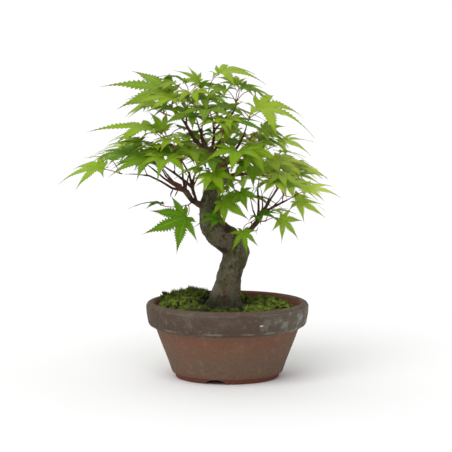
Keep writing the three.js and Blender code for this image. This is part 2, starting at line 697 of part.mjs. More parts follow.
const boxesMeet = (a, b) =>
  a.min.every((low, axis) => low <= b.max[axis] && b.min[axis] <= a.max[axis]);
const placed = (solid) => ({ solid, box: solid.boundingBox() });
const meets = (solid, others) => {
  const box = solid.boundingBox();
  return others.some((o) => boxesMeet(box, o.box) && solid.intersect(o.solid).volume() > 1e-6);
};

// Leaves shade each other as little as they can: each one turns on its stalk and shifts
// along Y, by small steps that grow, until it is clear of the wood and of the leaves before it.
const SETTLE = { steps: 36, stepY: 0.8, lifts: [0, 3, -3, 6], sways: 5, lean: 0.3, baseShare: 0.7 };
const YOUNG_STEPS = 14;
const CLEAR = 0.4;

function swayed(facing, sway) {
  const turn = (sway * 2 * Math.PI) / (SETTLE.sways - 1);
  const lean = sway ? SETTLE.lean : 0;
  const side = new THREE.Vector3(Math.cos(turn) * lean, Math.sin(turn) * lean, 0);
  return facing.clone().normalize().add(side).normalize();
}

function settleTry(attempt) {
  const step = Math.floor(attempt / (SETTLE.sways * SETTLE.lifts.length));
  const amount = Math.ceil(step / 2) * (step % 2 ? 1 : -1);
  const lift = SETTLE.lifts[Math.floor(attempt / SETTLE.sways) % SETTLE.lifts.length];
  return { shift: new THREE.Vector3(0, SETTLE.stepY * amount, lift), sway: attempt % SETTLE.sways };
}

// Gives the blade and its stalk once they clear the stem, the shoot's own leaves and the rest.
function settleLeaf([base, tip, facing], start, steps, stem, own, others) {
  const tries = steps * SETTLE.sways * SETTLE.lifts.length;
  const ownBlades = own.filter((_, i) => i % 2 === 0);
  for (let attempt = 0; attempt < tries; attempt += 1) {
    const { shift, sway } = settleTry(attempt);
    const baseNow = base.clone().addScaledVector(shift, SETTLE.baseShare);
    const tipNow = tip.clone().add(shift);
    const facingNow = swayed(facing, sway);
    const build = (extra) => [
      bladeSolid(baseNow, tipNow, facingNow, extra),
      petioleSolid(start, baseNow, tipNow, facingNow, extra),
    ];
    const [blade, petiole] = build(CLEAR);
    const blocked = meets(blade, [stem, ...own, ...others]) || meets(petiole, [...ownBlades, ...others]);
    if (!blocked) return build(0).map(placed);
  }
  return [];
}

// The grown leaves settle first; the young ones take the room that is left.
const stems = shoots.map((shoot, index) => placed(shootSolid(shoot, twigs[index])));
const foliage = shoots.map(() => []);
const woodAround = placed(wood);

function settlePairs(leavesOf, steps) {
  shoots.forEach((shoot, index) => {
    const own = foliage[index];
    const others = stems.flatMap((stem, i) => (i === index ? [] : [stem, ...foliage[i]]));
    leavesOf(shoot).forEach((choices) => {
      for (const leaf of choices) {
        const start = stalkStart(shoot, leaf);
        const found = settleLeaf(leaf, start, steps, stems[index], own, [woodAround, ...others]);
        own.push(...found);
        if (found.length) break;
      }
    });
  });
}

settlePairs(grownPair, SETTLE.steps);
settlePairs(youngPair, YOUNG_STEPS);

shoots.forEach((shoot, index) => {
  const name = `leafy_shoot_${String(index + 1).padStart(2, "0")}`;
  const solids = [stems[index], ...foliage[index]].map(({ solid }) => solid);
  addPiece(name, toGeometry(joinAll(solids)), makeLeaf(0.3 + 0.02 * (index % 5)));
});

// The origin sits at the middle of the bottom of the whole part.
const bounds = new THREE.Box3().setFromObject(tree);
const middle = bounds.getCenter(new THREE.Vector3());
tree.position.set(-middle.x, -middle.y, -bounds.min.z);

export default tree;
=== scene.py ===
# %% [markdown]
# A Japanese maple bonsai in a terracotta training pot. The packed model gives the fixed frame:
# where the pot, the soil, the moss, the wood and every leaf are. This lesson builds the fine
# surface around it, piece by piece, in metres.

# %% Load the fixed frame
import bmesh
import bpy
import math
import random
from mathutils import Matrix, Vector, noise
from mathutils.bvhtree import BVHTree


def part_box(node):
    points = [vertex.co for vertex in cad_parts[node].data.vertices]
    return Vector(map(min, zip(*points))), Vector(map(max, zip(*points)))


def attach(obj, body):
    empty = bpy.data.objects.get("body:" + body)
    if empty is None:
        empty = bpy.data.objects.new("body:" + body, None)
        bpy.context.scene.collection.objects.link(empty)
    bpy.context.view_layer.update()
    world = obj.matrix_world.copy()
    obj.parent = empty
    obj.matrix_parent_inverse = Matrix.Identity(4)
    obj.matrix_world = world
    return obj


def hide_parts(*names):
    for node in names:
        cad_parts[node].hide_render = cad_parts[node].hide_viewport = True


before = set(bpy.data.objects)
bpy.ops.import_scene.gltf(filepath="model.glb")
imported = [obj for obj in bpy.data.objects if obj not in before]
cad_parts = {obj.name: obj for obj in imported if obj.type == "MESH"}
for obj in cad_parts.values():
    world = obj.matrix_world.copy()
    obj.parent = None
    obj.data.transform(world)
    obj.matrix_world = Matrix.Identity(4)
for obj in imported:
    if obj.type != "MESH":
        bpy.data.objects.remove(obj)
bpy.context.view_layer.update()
MM = 0.001

# %% [markdown]
# The camera comes first, because it decides how much detail each piece needs. The plant is
# seen from a little above, from far enough back that the pot's rim is a thin ellipse. A long
# lens does that. A short lens close by would make the front leaves far too big.

# %% Camera
pot_low, pot_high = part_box("pot")
pot_axis = Vector(((pot_low.x + pot_high.x) / 2, (pot_low.y + pot_high.y) / 2, 0))
CAMERA_BACK = 2.2
CAMERA_HEIGHT = 0.395
AIM_HEIGHT = 0.146
CAMERA_LEFT = 0.0013
LENS_MM = 183.2
SENSOR_MM = 36

camera_data = bpy.data.cameras.new("camera")
camera_data.lens = LENS_MM
camera_data.sensor_width = SENSOR_MM
camera = bpy.data.objects.new("camera", camera_data)
bpy.context.scene.collection.objects.link(camera)
camera.location = pot_axis + Vector((-CAMERA_LEFT, -CAMERA_BACK, CAMERA_HEIGHT))
tilt = math.atan2(CAMERA_HEIGHT - AIM_HEIGHT, CAMERA_BACK)
camera.rotation_euler = (math.pi / 2 - tilt, 0, 0)
bpy.context.scene.camera = camera
print("camera looks down", round(math.degrees(tilt), 1), "degrees")

# %% [markdown]
# Small helpers that most pieces share: turning a bmesh into a finished piece that rides on the
# frame, and copying a node's mesh with its loose triangles merged.

# %% Helpers for pieces
MERGE = 1e-6


def finish_piece(name, bm, material, nodes=(), smooth=True):
    """Turns a bmesh into a piece that rides on the plant and may stand for frame nodes."""
    mesh = bpy.data.meshes.new(name)
    bm.to_mesh(mesh)
    bm.free()
    if smooth:
        mesh.shade_smooth()
    piece = bpy.data.objects.new(name, mesh)
    bpy.context.scene.collection.objects.link(piece)
    mesh.materials.append(material)
    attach(piece, "root")
    if nodes:
        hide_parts(*nodes)
    return piece


def smooth(x):
    """A soft step: 0 below 0, 1 above 1."""
    x = min(1.0, max(0.0, x))
    return x * x * (3 - 2 * x)


def merged_copy(node):
    """A copy of a frame node's mesh, with the corners of its loose triangles joined."""
    bm = bmesh.new()
    bm.from_mesh(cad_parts[node].data)
    bmesh.ops.remove_doubles(bm, verts=bm.verts, dist=MERGE)
    return bm


def applied(piece):
    """The piece's mesh with its modifiers applied, as a plain mesh again."""
    graph = bpy.context.evaluated_depsgraph_get()
    mesh = bpy.data.meshes.new_from_object(piece.evaluated_get(graph))
    piece.modifiers.clear()
    piece.data = mesh
    return piece


print("merge distance", MERGE, "m")

# %% [markdown]
# Materials are node trees. Three effects come back on several pieces: blotches of another
# colour, fine grain for the bump, and height bands. Each is a group with named inputs, so a
# material only places it and gives it values. Three small helpers keep the trees readable:
# one makes a group with its sockets, one adds a node, and one blends two colours.

# %% Node helpers
def new_group(name, inputs, outputs):
    """A shader group with named sockets. Each input is (label, socket kind, value)."""
    group = bpy.data.node_groups.new(name, "ShaderNodeTree")
    for label, kind, value in inputs:
        socket = group.interface.new_socket(label, in_out="INPUT", socket_type=kind)
        if value is not None:
            socket.default_value = value
    for label, kind in outputs:
        group.interface.new_socket(label, in_out="OUTPUT", socket_type=kind)
    return group


def node(tree, kind, **inputs):
    """Adds a node and sets its inputs by name."""
    made = tree.nodes.new(kind)
    for label, value in inputs.items():
        made.inputs[label.replace("_", " ")].default_value = value
    return made


def mix_colours(tree, factor, first, second):
    """Blends two colours by a factor. Each may be a socket or a colour."""
    made = tree.nodes.new("ShaderNodeMix")
    made.data_type = "RGBA"
    for index, value in ((0, factor), (6, first), (7, second)):
        if hasattr(value, "is_linked"):
            tree.links.new(value, made.inputs[index])
        else:
            made.inputs[index].default_value = value
    return made.outputs[2]


print("node helpers ready, groups so far:", len(bpy.data.node_groups))

# %% [markdown]
# Blotches are soft patches of moss stain, lime or damp. Noise runs from 0 to 1, and a smooth
# ramp near its middle turns it into a mask. Moving the ramp's start changes how much of the
# surface the patches cover, and its width changes how soft their edges are.

# %% Blotches
def blotch_group():
    """A mask of soft patches: more coverage means more of it, more sharpness harder edges."""
    group = new_group(
        "blotches",
        [
            ("Vector", "NodeSocketVector", None),
            ("Scale", "NodeSocketFloat", 50.0),
            ("Coverage", "NodeSocketFloat", 0.5),
            ("Softness", "NodeSocketFloat", 0.1),
        ],
        [("Mask", "NodeSocketFloat")],
    )
    start, end = group.nodes.new("NodeGroupInput"), group.nodes.new("NodeGroupOutput")
    texture = node(group, "ShaderNodeTexNoise", Detail=5.0, Roughness=0.6)
    group.links.new(start.outputs["Vector"], texture.inputs["Vector"])
    group.links.new(start.outputs["Scale"], texture.inputs["Scale"])
    low = node(group, "ShaderNodeMath")
    low.operation = "SUBTRACT"
    low.inputs[0].default_value = 1.0
    group.links.new(start.outputs["Coverage"], low.inputs[1])
    high = node(group, "ShaderNodeMath")
    high.operation = "ADD"
    group.links.new(low.outputs[0], high.inputs[0])
    group.links.new(start.outputs["Softness"], high.inputs[1])
    ramp = node(group, "ShaderNodeMapRange")
    ramp.interpolation_type = "SMOOTHSTEP"
    group.links.new(texture.outputs["Fac"], ramp.inputs["Value"])
    group.links.new(low.outputs[0], ramp.inputs["From Min"])
    group.links.new(high.outputs[0], ramp.inputs["From Max"])
    group.links.new(ramp.outputs[0], end.inputs["Mask"])
    return group


BLOTCHES = blotch_group()
print("group", BLOTCHES.name, "has", len(BLOTCHES.nodes), "nodes")

# %% [markdown]
# Clay, bark and soil are all rough at a scale that is too fine to model. One group of fractal
# noise serves them all, and each material places it with its own scale.

# %% Grain
def grain_group():
    """Fine noise around zero, for bump heights and small shifts of colour."""
    group = new_group(
        "grain",
        [("Vector", "NodeSocketVector", None), ("Scale", "NodeSocketFloat", 900.0)],
        [("Height", "NodeSocketFloat")],
    )
    start, end = group.nodes.new("NodeGroupInput"), group.nodes.new("NodeGroupOutput")
    texture = node(group, "ShaderNodeTexNoise", Detail=6.0, Roughness=0.65)
    group.links.new(start.outputs["Vector"], texture.inputs["Vector"])
    group.links.new(start.outputs["Scale"], texture.inputs["Scale"])
    group.links.new(texture.outputs["Fac"], end.inputs["Height"])
    return group


GRAIN = grain_group()
print("group", GRAIN.name, "has", len(GRAIN.nodes), "nodes")

# %% [markdown]
# Some marks lie at a certain height: the painted shade at the foot of the trunk, the lime line under the rim.
# The height is the Z of the object coordinates. Two ramps, one for each edge, are multiplied,
# so the mask is 1 between the edges and fades out beyond them.

# %% Height band
def band_group():
    """A mask that is 1 between two heights and fades out over a given distance."""
    group = new_group(
        "height_band",
        [
            ("Vector", "NodeSocketVector", None),
            ("Low", "NodeSocketFloat", 0.0),
            ("High", "NodeSocketFloat", 1.0),
            ("Fade", "NodeSocketFloat", 0.002),
        ],
        [("Mask", "NodeSocketFloat")],
    )
    start, end = group.nodes.new("NodeGroupInput"), group.nodes.new("NodeGroupOutput")
    split = node(group, "ShaderNodeSeparateXYZ")
    group.links.new(start.outputs["Vector"], split.inputs[0])
    sides = []
    for edge, sign in (("Low", 1), ("High", -1)):
        away = node(group, "ShaderNodeMath")
        away.operation = "SUBTRACT"
        group.links.new(split.outputs["Z"], away.inputs[0])
        group.links.new(start.outputs[edge], away.inputs[1])
        scaled = node(group, "ShaderNodeMath")
        scaled.operation = "DIVIDE"
        group.links.new(away.outputs[0], scaled.inputs[0])
        group.links.new(start.outputs["Fade"], scaled.inputs[1])
        ramp = node(group, "ShaderNodeMapRange")
        ramp.inputs["From Min"].default_value = -0.5 * sign
        ramp.inputs["From Max"].default_value = 0.5 * sign
        group.links.new(scaled.outputs[0], ramp.inputs["Value"])
        sides.append(ramp.outputs[0])
    both = node(group, "ShaderNodeMath")
    both.operation = "MULTIPLY"
    group.links.new(sides[0], both.inputs[0])
    group.links.new(sides[1], both.inputs[1])
    group.links.new(both.outputs[0], end.inputs["Mask"])
    return group


BAND = band_group()
print("group", BAND.name, "has", len(BAND.nodes), "nodes")

# %% [markdown]
# Display colours are easy to read and to mix by eye, and a shader works in linear light. So
# every colour below is given as red, green and blue from 0 to 255 and turned into linear light.

# %% Colours
def rgb(red, green, blue):
    """A colour given as 0 to 255 display values, turned into linear light."""
    channels = [c / 255 for c in (red, green, blue)]
    linear = [c / 12.92 if c <= 0.04045 else ((c + 0.055) / 1.055) ** 2.4 for c in channels]
    return (*linear, 1.0)


print("mid grey in linear light", round(rgb(128, 128, 128)[0], 3))

# %% [markdown]
# A mask often needs a little geometry: how far a point is from the trunk, or how high it is.
# This class holds one material with its shader and its object coordinates, which are the
# frame's metres because every object sits at the origin. It turns each kind of maths node into
# a short call.

# %% Maths on a material
class Recipe:
    """One material, its Principled shader and its object coordinates."""

    def __init__(self, name, roughness, specular=0.4):
        self.material = bpy.data.materials.new(name)
        self.material.use_nodes = True
        self.tree = self.material.node_tree
        self.shader = self.tree.nodes["Principled BSDF"]
        self.shader.inputs["Roughness"].default_value = roughness
        self.shader.inputs["Specular IOR Level"].default_value = specular
        self.place = self.tree.nodes.new("ShaderNodeTexCoord").outputs["Object"]

    def math(self, operation, first, second):
        made = self.tree.nodes.new("ShaderNodeMath")
        made.operation = operation
        for index, value in enumerate((first, second)):
            if hasattr(value, "is_linked"):
                self.tree.links.new(value, made.inputs[index])
            else:
                made.inputs[index].default_value = value
        return made.outputs[0]

    def from_point(self, point):
        """The vector from a fixed point to the surface."""
        made = self.tree.nodes.new("ShaderNodeVectorMath")
        made.operation = "SUBTRACT"
        made.inputs[1].default_value = point
        self.tree.links.new(self.place, made.inputs[0])
        return made.outputs["Vector"]

    def scaled(self, vector, factors):
        made = self.tree.nodes.new("ShaderNodeVectorMath")
        made.operation = "MULTIPLY"
        made.inputs[1].default_value = factors
        self.tree.links.new(vector, made.inputs[0])
        return made.outputs["Vector"]

    def length(self, vector):
        made = self.tree.nodes.new("ShaderNodeVectorMath")
        made.operation = "LENGTH"
        self.tree.links.new(vector, made.inputs[0])
        return made.outputs["Value"]

    def part(self, vector, axis):
        made = self.tree.nodes.new("ShaderNodeSeparateXYZ")
        self.tree.links.new(vector, made.inputs[0])
        return made.outputs[axis]

    def step(self, value, start, end):
        """0 before start and 1 after end, with a soft change between them."""
        made = self.tree.nodes.new("ShaderNodeMapRange")
        made.interpolation_type = "SMOOTHSTEP"
        low, high = min(start, end), max(start, end)
        made.inputs["From Min"].default_value = low
        made.inputs["From Max"].default_value = high
        made.inputs["To Min"].default_value = 0.0 if start < end else 1.0
        made.inputs["To Max"].default_value = 1.0 if start < end else 0.0
        self.tree.links.new(value, made.inputs["Value"])
        return made.outputs[0]

    def ramp(self, value, start, end):
        """0 before start and 1 after end, in a straight line between them."""
        made = self.tree.nodes.new("ShaderNodeMapRange")
        made.inputs["From Min"].default_value = start
        made.inputs["From Max"].default_value = end
        self.tree.links.new(value, made.inputs["Value"])
        return made.outputs[0]


print("maths calls", [name for name in vars(Recipe) if not name.startswith("_")])

# %% [markdown]
# A finish is a recipe with layers. It places the shared groups, lays one colour over another
# through a mask, and ends in the shader's colour, roughness and bump. With these calls each
# material below reads as a list of what lies on what.

# %% Layers on a material
class Finish(Recipe):
    """A recipe that can lay colours over each other and finish the shader."""

    def stretched(self, x, y, z):
        """Object coordinates scaled per axis, for patterns that are longer one way."""
        made = self.tree.nodes.new("ShaderNodeMapping")
        made.inputs["Scale"].default_value = (x, y, z)
        self.tree.links.new(self.place, made.inputs["Vector"])
        return made.outputs[0]

    def placed(self, group, vector=None, **values):
        """One of the shared groups, with its own values."""
        made = self.tree.nodes.new("ShaderNodeGroup")
        made.node_tree = group
        self.tree.links.new(vector or self.place, made.inputs["Vector"])
        for label, value in values.items():
            made.inputs[label].default_value = value
        return made.outputs[0]

    def blotches(self, scale, coverage, softness=0.1, vector=None):
        return self.placed(BLOTCHES, vector, Scale=scale, Coverage=coverage, Softness=softness)

    def band(self, low, high, fade):
        return self.placed(BAND, None, Low=low, High=high, Fade=fade)

    def attribute(self, name):
        """A value that the mesh carries on its points."""
        made = self.tree.nodes.new("ShaderNodeAttribute")
        made.attribute_name = name
        return made.outputs["Fac"]

    def mix(self, factor, first, second):
        return mix_colours(self.tree, factor, first, second)

    def over(self, base, mask, colour, share=1.0):
        """Lays a colour over the base where the mask is, and at most up to the share."""
        factor = mask if share == 1.0 else self.math("MULTIPLY", mask, share)
        return self.mix(factor, base, colour)

    def colour(self, socket):
        self.tree.links.new(socket, self.shader.inputs["Base Color"])

    def rough(self, socket, low, high):
        """Roughness between two values, driven by a mask or a grain."""
        ramp = self.tree.nodes.new("ShaderNodeMapRange")
        ramp.inputs["To Min"].default_value = low
        ramp.inputs["To Max"].default_value = high
        self.tree.links.new(socket, ramp.inputs["Value"])
        self.tree.links.new(ramp.outputs[0], self.shader.inputs["Roughness"])

    def bump(self, heights, distance):
        """Heights is a list of (socket, share); their sum bumps the surface."""
        total = None
        for socket, share in heights:
            part = self.math("MULTIPLY", socket, share)
            total = part if total is None else self.math("ADD", total, part)
        made = self.tree.nodes.new("ShaderNodeBump")
        made.inputs["Distance"].default_value = distance
        self.tree.links.new(total, made.inputs["Height"])
        self.tree.links.new(made.outputs[0], self.shader.inputs["Normal"])


print("layer calls", [name for name in vars(Finish) if not name.startswith("_")])

# %% [markdown]
# The pot is thrown clay, so its shape is a profile turned about the axis: the drain hole, a
# foot ring, a body that opens upwards, a thick rim band and the inner wall. Spinning a chain of
# edges is the shortest way, and it gives a closed shell in one step. The frame's pot gives the
# axis and the height that the profile has to reach.

# %% Pot shape
pot_height = pot_high.z
POT_PROFILE_MM = [
    (8, 5), (43, 5), (44.4, 1.2), (45.6, 0), (48.4, 0), (49.6, 0.6), (50.3, 2.2), (50.5, 4.2),
    (51.2, 4.9), (53.2, 5.4), (54, 7), (57.2, 16.4), (61, 26.1), (64.8, 35.8), (68.1, 44.8),
    (69, 47.4), (70, 48.4),
    (72.8, 49.7), (75.2, 51.2), (76.4, 53.2), (77, 56.4), (78, 62), (78.5, 68.6), (78.3, 69.6),
    (77.8, 70), (77.7, 70.9), (77.1, 71.8), (75.8, 72.6), (74.2, 73.1), (73, 73.1), (71.6, 72.5),
    (70.6, 71.2), (70.1, 68.8), (64.4, 46), (50.4, 14), (47, 11), (8, 11),
]
POT_STEPS = 160


def pot_shape():
    """The profile spun once around the pot's axis."""
    bm = bmesh.new()
    chain = [bm.verts.new(pot_axis + Vector((r * MM, 0, z * MM))) for r, z in POT_PROFILE_MM]
    edges = [bm.edges.new((a, b)) for a, b in zip(chain, chain[1:] + chain[:1])]
    bmesh.ops.spin(
        bm, geom=chain + edges, axis=(0, 0, 1), cent=pot_axis, steps=POT_STEPS, angle=math.tau,
        use_merge=True,
    )
    bmesh.ops.remove_doubles(bm, verts=bm.verts, dist=MERGE)
    bmesh.ops.recalc_face_normals(bm, faces=bm.faces)
    return bm


top_mm = max(z for _, z in POT_PROFILE_MM)
print("profile", len(POT_PROFILE_MM), "points, top", top_mm, "mm, frame", round(pot_height / MM, 1), "mm")

# %% [markdown]
# Old terracotta is never one colour. The body is red clay under an olive-grey film, which is
# thicker low down, where water runs and algae grow. Towards the left and right edges a grey sheen
# is painted in, where the wall turns away. The foot ring was kept clean by the bench, so it stays
# red. Each layer is laid over the last one through a mask.

# %% Body clay
RED_CLAY, BROWN_CLAY, RAW_CLAY = rgb(124, 84, 66), rgb(112, 84, 68), rgb(116, 68, 54)
FILM, SIDE_SHEEN = rgb(107, 90, 74), rgb(112, 92, 75)
FOOT_TOP = 0.0052


def body_clay(clay, from_axis):
    """Red clay under a film that thickens towards the foot, with a painted grey sheen at the sides."""
    body = clay.mix(clay.blotches(26, 0.5, 0.3, clay.stretched(1, 1, 2.5)), RED_CLAY, BROWN_CLAY)
    body = clay.over(body, clay.blotches(30, 0.58, 0.25, clay.stretched(1, 1, 3)), FILM, 0.65)
    beside = clay.math("ABSOLUTE", clay.part(from_axis, "X"), 0)
    # Painted sheen: the wall turns greyer towards its left and right edges as seen from the front.
    body = clay.over(body, clay.step(beside, 0.03, 0.065), SIDE_SHEEN, 0.5)
    low = clay.math("MULTIPLY", clay.band(0.004, 0.026, 0.03), clay.blotches(36, 0.85, 0.4))
    body = clay.over(body, low, FILM)
    return clay.over(body, clay.band(-0.01, FOOT_TOP, 0.0006), RAW_CLAY)


print("body clay: film from the foot's top at", FOOT_TOP, "m")

# %% [markdown]
# The rim band is darker than the body, because it stays wet longer. Lime from the water has
# bloomed on its right side and along its two edges, and one fleck of glaze or paint sits on
# the front. The fleck is a distance from a point, squeezed so that it is wider than high, with
# the clay's own grain added to make its outline ragged.

# %% Rim band clay
DARK_BAND, GREY_BAND, RUSTY_BAND = rgb(84, 69, 59), rgb(98, 91, 80), rgb(104, 74, 60)
WEATHERED, LIME = rgb(118, 114, 102), rgb(156, 162, 150)
LIME_LINE, FLECK = rgb(146, 146, 132), rgb(196, 198, 188)
LOWER_LINE, UPPER_LINE = (0.0505, 0.0526), (0.0689, 0.0699)
FLECK_PLACE = pot_axis + Vector((0.0318, -0.0708, 0.0598))


def band_clay(clay, from_axis, fine):
    """The dark band, with lime on the right, pale lines at its edges and one fleck."""
    band = clay.mix(clay.blotches(30, 0.5, 0.3, clay.stretched(1, 1, 2)), DARK_BAND, GREY_BAND)
    band = clay.over(band, clay.blotches(60, 0.42, 0.15), RUSTY_BAND, 0.5)
    rightward = clay.step(clay.part(from_axis, "X"), 0.02, 0.075)
    band = clay.over(band, rightward, WEATHERED, 0.45)
    band = clay.over(band, clay.math("MULTIPLY", clay.blotches(75, 0.52, 0.18), rightward), LIME, 0.8)
    upper = clay.math("MULTIPLY", clay.band(*UPPER_LINE, 0.0007), 0.5)
    lines = clay.math("ADD", upper, clay.band(*LOWER_LINE, 0.001))
    lines = clay.math("MULTIPLY", lines, clay.blotches(55, 0.6, 0.2))
    band = clay.over(band, lines, LIME_LINE, 0.5)
    away = clay.length(clay.scaled(clay.from_point(FLECK_PLACE), (0.8, 0.8, 1.6)))
    ragged = clay.math("ADD", away, clay.math("MULTIPLY", fine, 0.004))
    return clay.over(band, clay.step(ragged, 0.0037, 0.0029), FLECK, 0.85)


print("rim band clay: fleck at", [round(c, 4) for c in FLECK_PLACE])

# %% [markdown]
# One material covers the whole pot, so the mask has to tell the regions apart. Height is enough
# for the band and the lip. The inner wall leans like the body outside it, so it is found by its
# radius less the lean of the wall. Grain, throwing rings and pale and dark specks come last.

# %% Pot finish
WALL_SLOPE = 0.3865
BAND_BOTTOM, LIP_BOTTOM, ABOVE_POT = 0.0484, 0.0699, 0.08
DARK_LIP, PALE_LIP = rgb(87, 70, 58), rgb(104, 90, 76)
BRIGHT_INSIDE, DARK_INSIDE = rgb(140, 92, 72), rgb(112, 80, 64)
SOOT, CHALK = rgb(64, 50, 40), rgb(142, 126, 106)


def terracotta_finish():
    """The whole pot: body, band, lip and inside, with grain over all."""
    clay = Finish("terracotta", 0.85, 0.2)
    from_axis = clay.from_point(pot_axis)
    fine = clay.placed(GRAIN, None, Scale=420.0)
    coarse = clay.placed(GRAIN, None, Scale=150.0)
    rings = clay.placed(GRAIN, clay.stretched(1, 1, 9), Scale=70.0)
    band = band_clay(clay, from_axis, fine)
    base = clay.over(body_clay(clay, from_axis), clay.band(BAND_BOTTOM, ABOVE_POT, 0.001), band)
    lip = clay.mix(coarse, DARK_LIP, PALE_LIP)
    base = clay.over(base, clay.band(LIP_BOTTOM, ABOVE_POT, 0.0006), lip, 0.75)
    radius = clay.length(clay.scaled(from_axis, (1, 1, 0)))
    lean = clay.math("MULTIPLY", clay.part(from_axis, "Z"), WALL_SLOPE)
    within = clay.step(clay.math("SUBTRACT", radius, lean), 0.0495, 0.048)
    inside = clay.math("MULTIPLY", clay.step(radius, 0.0725, 0.0708), within)
    base = clay.over(base, inside, clay.mix(coarse, BRIGHT_INSIDE, DARK_INSIDE))
    base = clay.over(base, clay.step(fine, 0.5, 0.72), SOOT, 0.4)
    clay.colour(clay.over(base, clay.step(coarse, 0.52, 0.7), CHALK, 0.3))
    clay.bump([(fine, 0.6), (coarse, 0.7), (rings, 0.8)], 0.0009)
    clay.rough(fine, 0.75, 0.95)
    return clay.material


TERRACOTTA = terracotta_finish()
print("terracotta has", len(TERRACOTTA.node_tree.nodes), "nodes")

# %% [markdown]
# Three notches in the foot ring let water out from under the pot. A potter cuts them with a
# wire. Here a flattened cylinder does it, as a boolean cutter that is removed afterwards. The
# edges that are sharper than 40 degrees stay sharp, and the rest is shaded smooth.

# %% Pot piece
pot = finish_piece("pot_shell", pot_shape(), TERRACOTTA, ["pot"])
NOTCH_WIDTH, NOTCH_HEIGHT, NOTCH_DEPTH, NOTCH_FIRST = 0.020, 0.0042, 0.016, -103
FOOT_RADIUS = 0.0495
SHARP = math.radians(40)
for turn in (0, 120, 240):
    bm = bmesh.new()
    bmesh.ops.create_cone(bm, cap_ends=True, segments=40, radius1=1, radius2=1, depth=NOTCH_DEPTH)
    bmesh.ops.rotate(bm, verts=bm.verts, matrix=Matrix.Rotation(math.pi / 2, 3, "X"))
    bmesh.ops.scale(bm, verts=bm.verts, vec=(NOTCH_WIDTH / 2, 1, NOTCH_HEIGHT))
    bmesh.ops.translate(bm, verts=bm.verts, vec=(0, -FOOT_RADIUS, 0))
    angle = math.radians(NOTCH_FIRST + 90 + turn)
    bmesh.ops.rotate(bm, verts=bm.verts, matrix=Matrix.Rotation(angle, 3, "Z"))
    bmesh.ops.translate(bm, verts=bm.verts, vec=pot_axis)
    mesh = bpy.data.meshes.new("notch")
    bm.to_mesh(mesh)
    bm.free()
    cutter = bpy.data.objects.new("notch", mesh)
    bpy.context.scene.collection.objects.link(cutter)
    cut = pot.modifiers.new("notch", "BOOLEAN")
    cut.operation, cut.solver, cut.object = "DIFFERENCE", "EXACT", cutter
    bpy.context.view_layer.update()
    applied(pot)
    bpy.data.objects.remove(cutter)
pot.data.shade_smooth()
pot.data.set_sharp_from_angle(angle=SHARP)
print("pot", len(pot.data.polygons), "faces")

# %% [markdown]
# The wood grew as one piece: roots, trunk, branches and twigs flow into each other. The frame's
# wood is made of faceted tubes. A voxel remesh turns them into one even skin, smoothing rounds
# the joints between the tubes as growth does, and noise along the normals gives the bark its
# ridges. The thickness of the wood at each point is measured with a ray through it, because
# young twigs are red-brown and smooth, and old wood is grey and rough.

# %% Wood skin
VOXEL = 0.00074
SKIN_ROUNDS = 5
RAY_REACH = 0.04
RAY_START = 0.0002


def wood_skin():
    """The frame's wood as one even, lightly smoothed skin."""
    bm = merged_copy("trunk_and_branches")
    mesh = bpy.data.meshes.new("wood_rough")
    bm.to_mesh(mesh)
    bm.free()
    rough = bpy.data.objects.new("wood_rough", mesh)
    bpy.context.scene.collection.objects.link(rough)
    grid = rough.modifiers.new("even", "REMESH")
    grid.mode, grid.voxel_size = "VOXEL", VOXEL
    ease = rough.modifiers.new("ease", "SMOOTH")
    ease.factor, ease.iterations = 0.5, SKIN_ROUNDS
    bpy.context.view_layer.update()
    applied(rough)
    bm = bmesh.new()
    bm.from_mesh(rough.data)
    bpy.data.objects.remove(rough)
    return bm


def thickness(bm):
    """How thick the wood is behind each vertex, in metres."""
    tree = BVHTree.FromBMesh(bm)
    values = []
    for v in bm.verts:
        start = v.co - v.normal * RAY_START
        hit = tree.ray_cast(start, -v.normal, RAY_REACH)
        values.append(hit[3] if hit[0] else RAY_REACH)
    return values


wood = wood_skin()
wood.normal_update()
print("wood skin", len(wood.faces), "faces")

# %% [markdown]
# Growth rounds old wood more than young twigs, so the trunk gets extra smoothing, and the inner
# side of its bend a great deal. Then the relief comes: noise that is stretched along the trunk
# for ridges, wide noise for knobs, and faint rings. An old pruning wound on the front of the
# bend has rotted into a small hollow with a raised lip.

# %% Bark relief
def bark_height(p, thick):
    """Ridges that run along the trunk, with knobs; twigs stay nearly smooth."""
    old = min(1.0, max(0.0, (thick - 0.003) / 0.012))
    along = Vector((p.x * 1.6, p.y * 1.6, p.z * 0.5))
    ridges = noise.fractal(along * 420, 0.8, 2.0, 3)
    knobs = noise.noise(p * 150) * 1.2 + noise.noise(p * 60) * 0.9
    plates = noise.noise(p * 700) * 0.4
    rings = noise.noise(Vector((p.x * 25, p.y * 25, p.z * 260))) * 0.35
    return old * MM * (0.4 * ridges + 0.55 * knobs + plates + rings) + 0.05 * MM * noise.noise(p * 1500)


HOLLOW = pot_axis + Vector((0.002, -0.0165, 0.1465))
HOLLOW_RADIUS = 0.0062
OLD_WOOD = 0.008
EASE_ROUNDS = 8
BEND = pot_axis + Vector((-0.003, 0, 0.124))
BEND_REACH = 0.014
BEND_ROUNDS = 90
FULL_THICKNESS = 0.02


def hollow_push(p):
    """Pushes the skin in at the wound and out at its lip."""
    away = (p - HOLLOW).length / HOLLOW_RADIUS
    return MM * (-3.2 * smooth(1.1 - away) + 1.1 * smooth(1 - abs(away - 1.25) / 0.5))


def eased(bm, verts, rounds):
    """Smooths some of the points, again and again."""
    for _ in range(rounds):
        bmesh.ops.smooth_vert(bm, verts=verts, factor=0.5, use_axis_x=True, use_axis_y=True, use_axis_z=True)


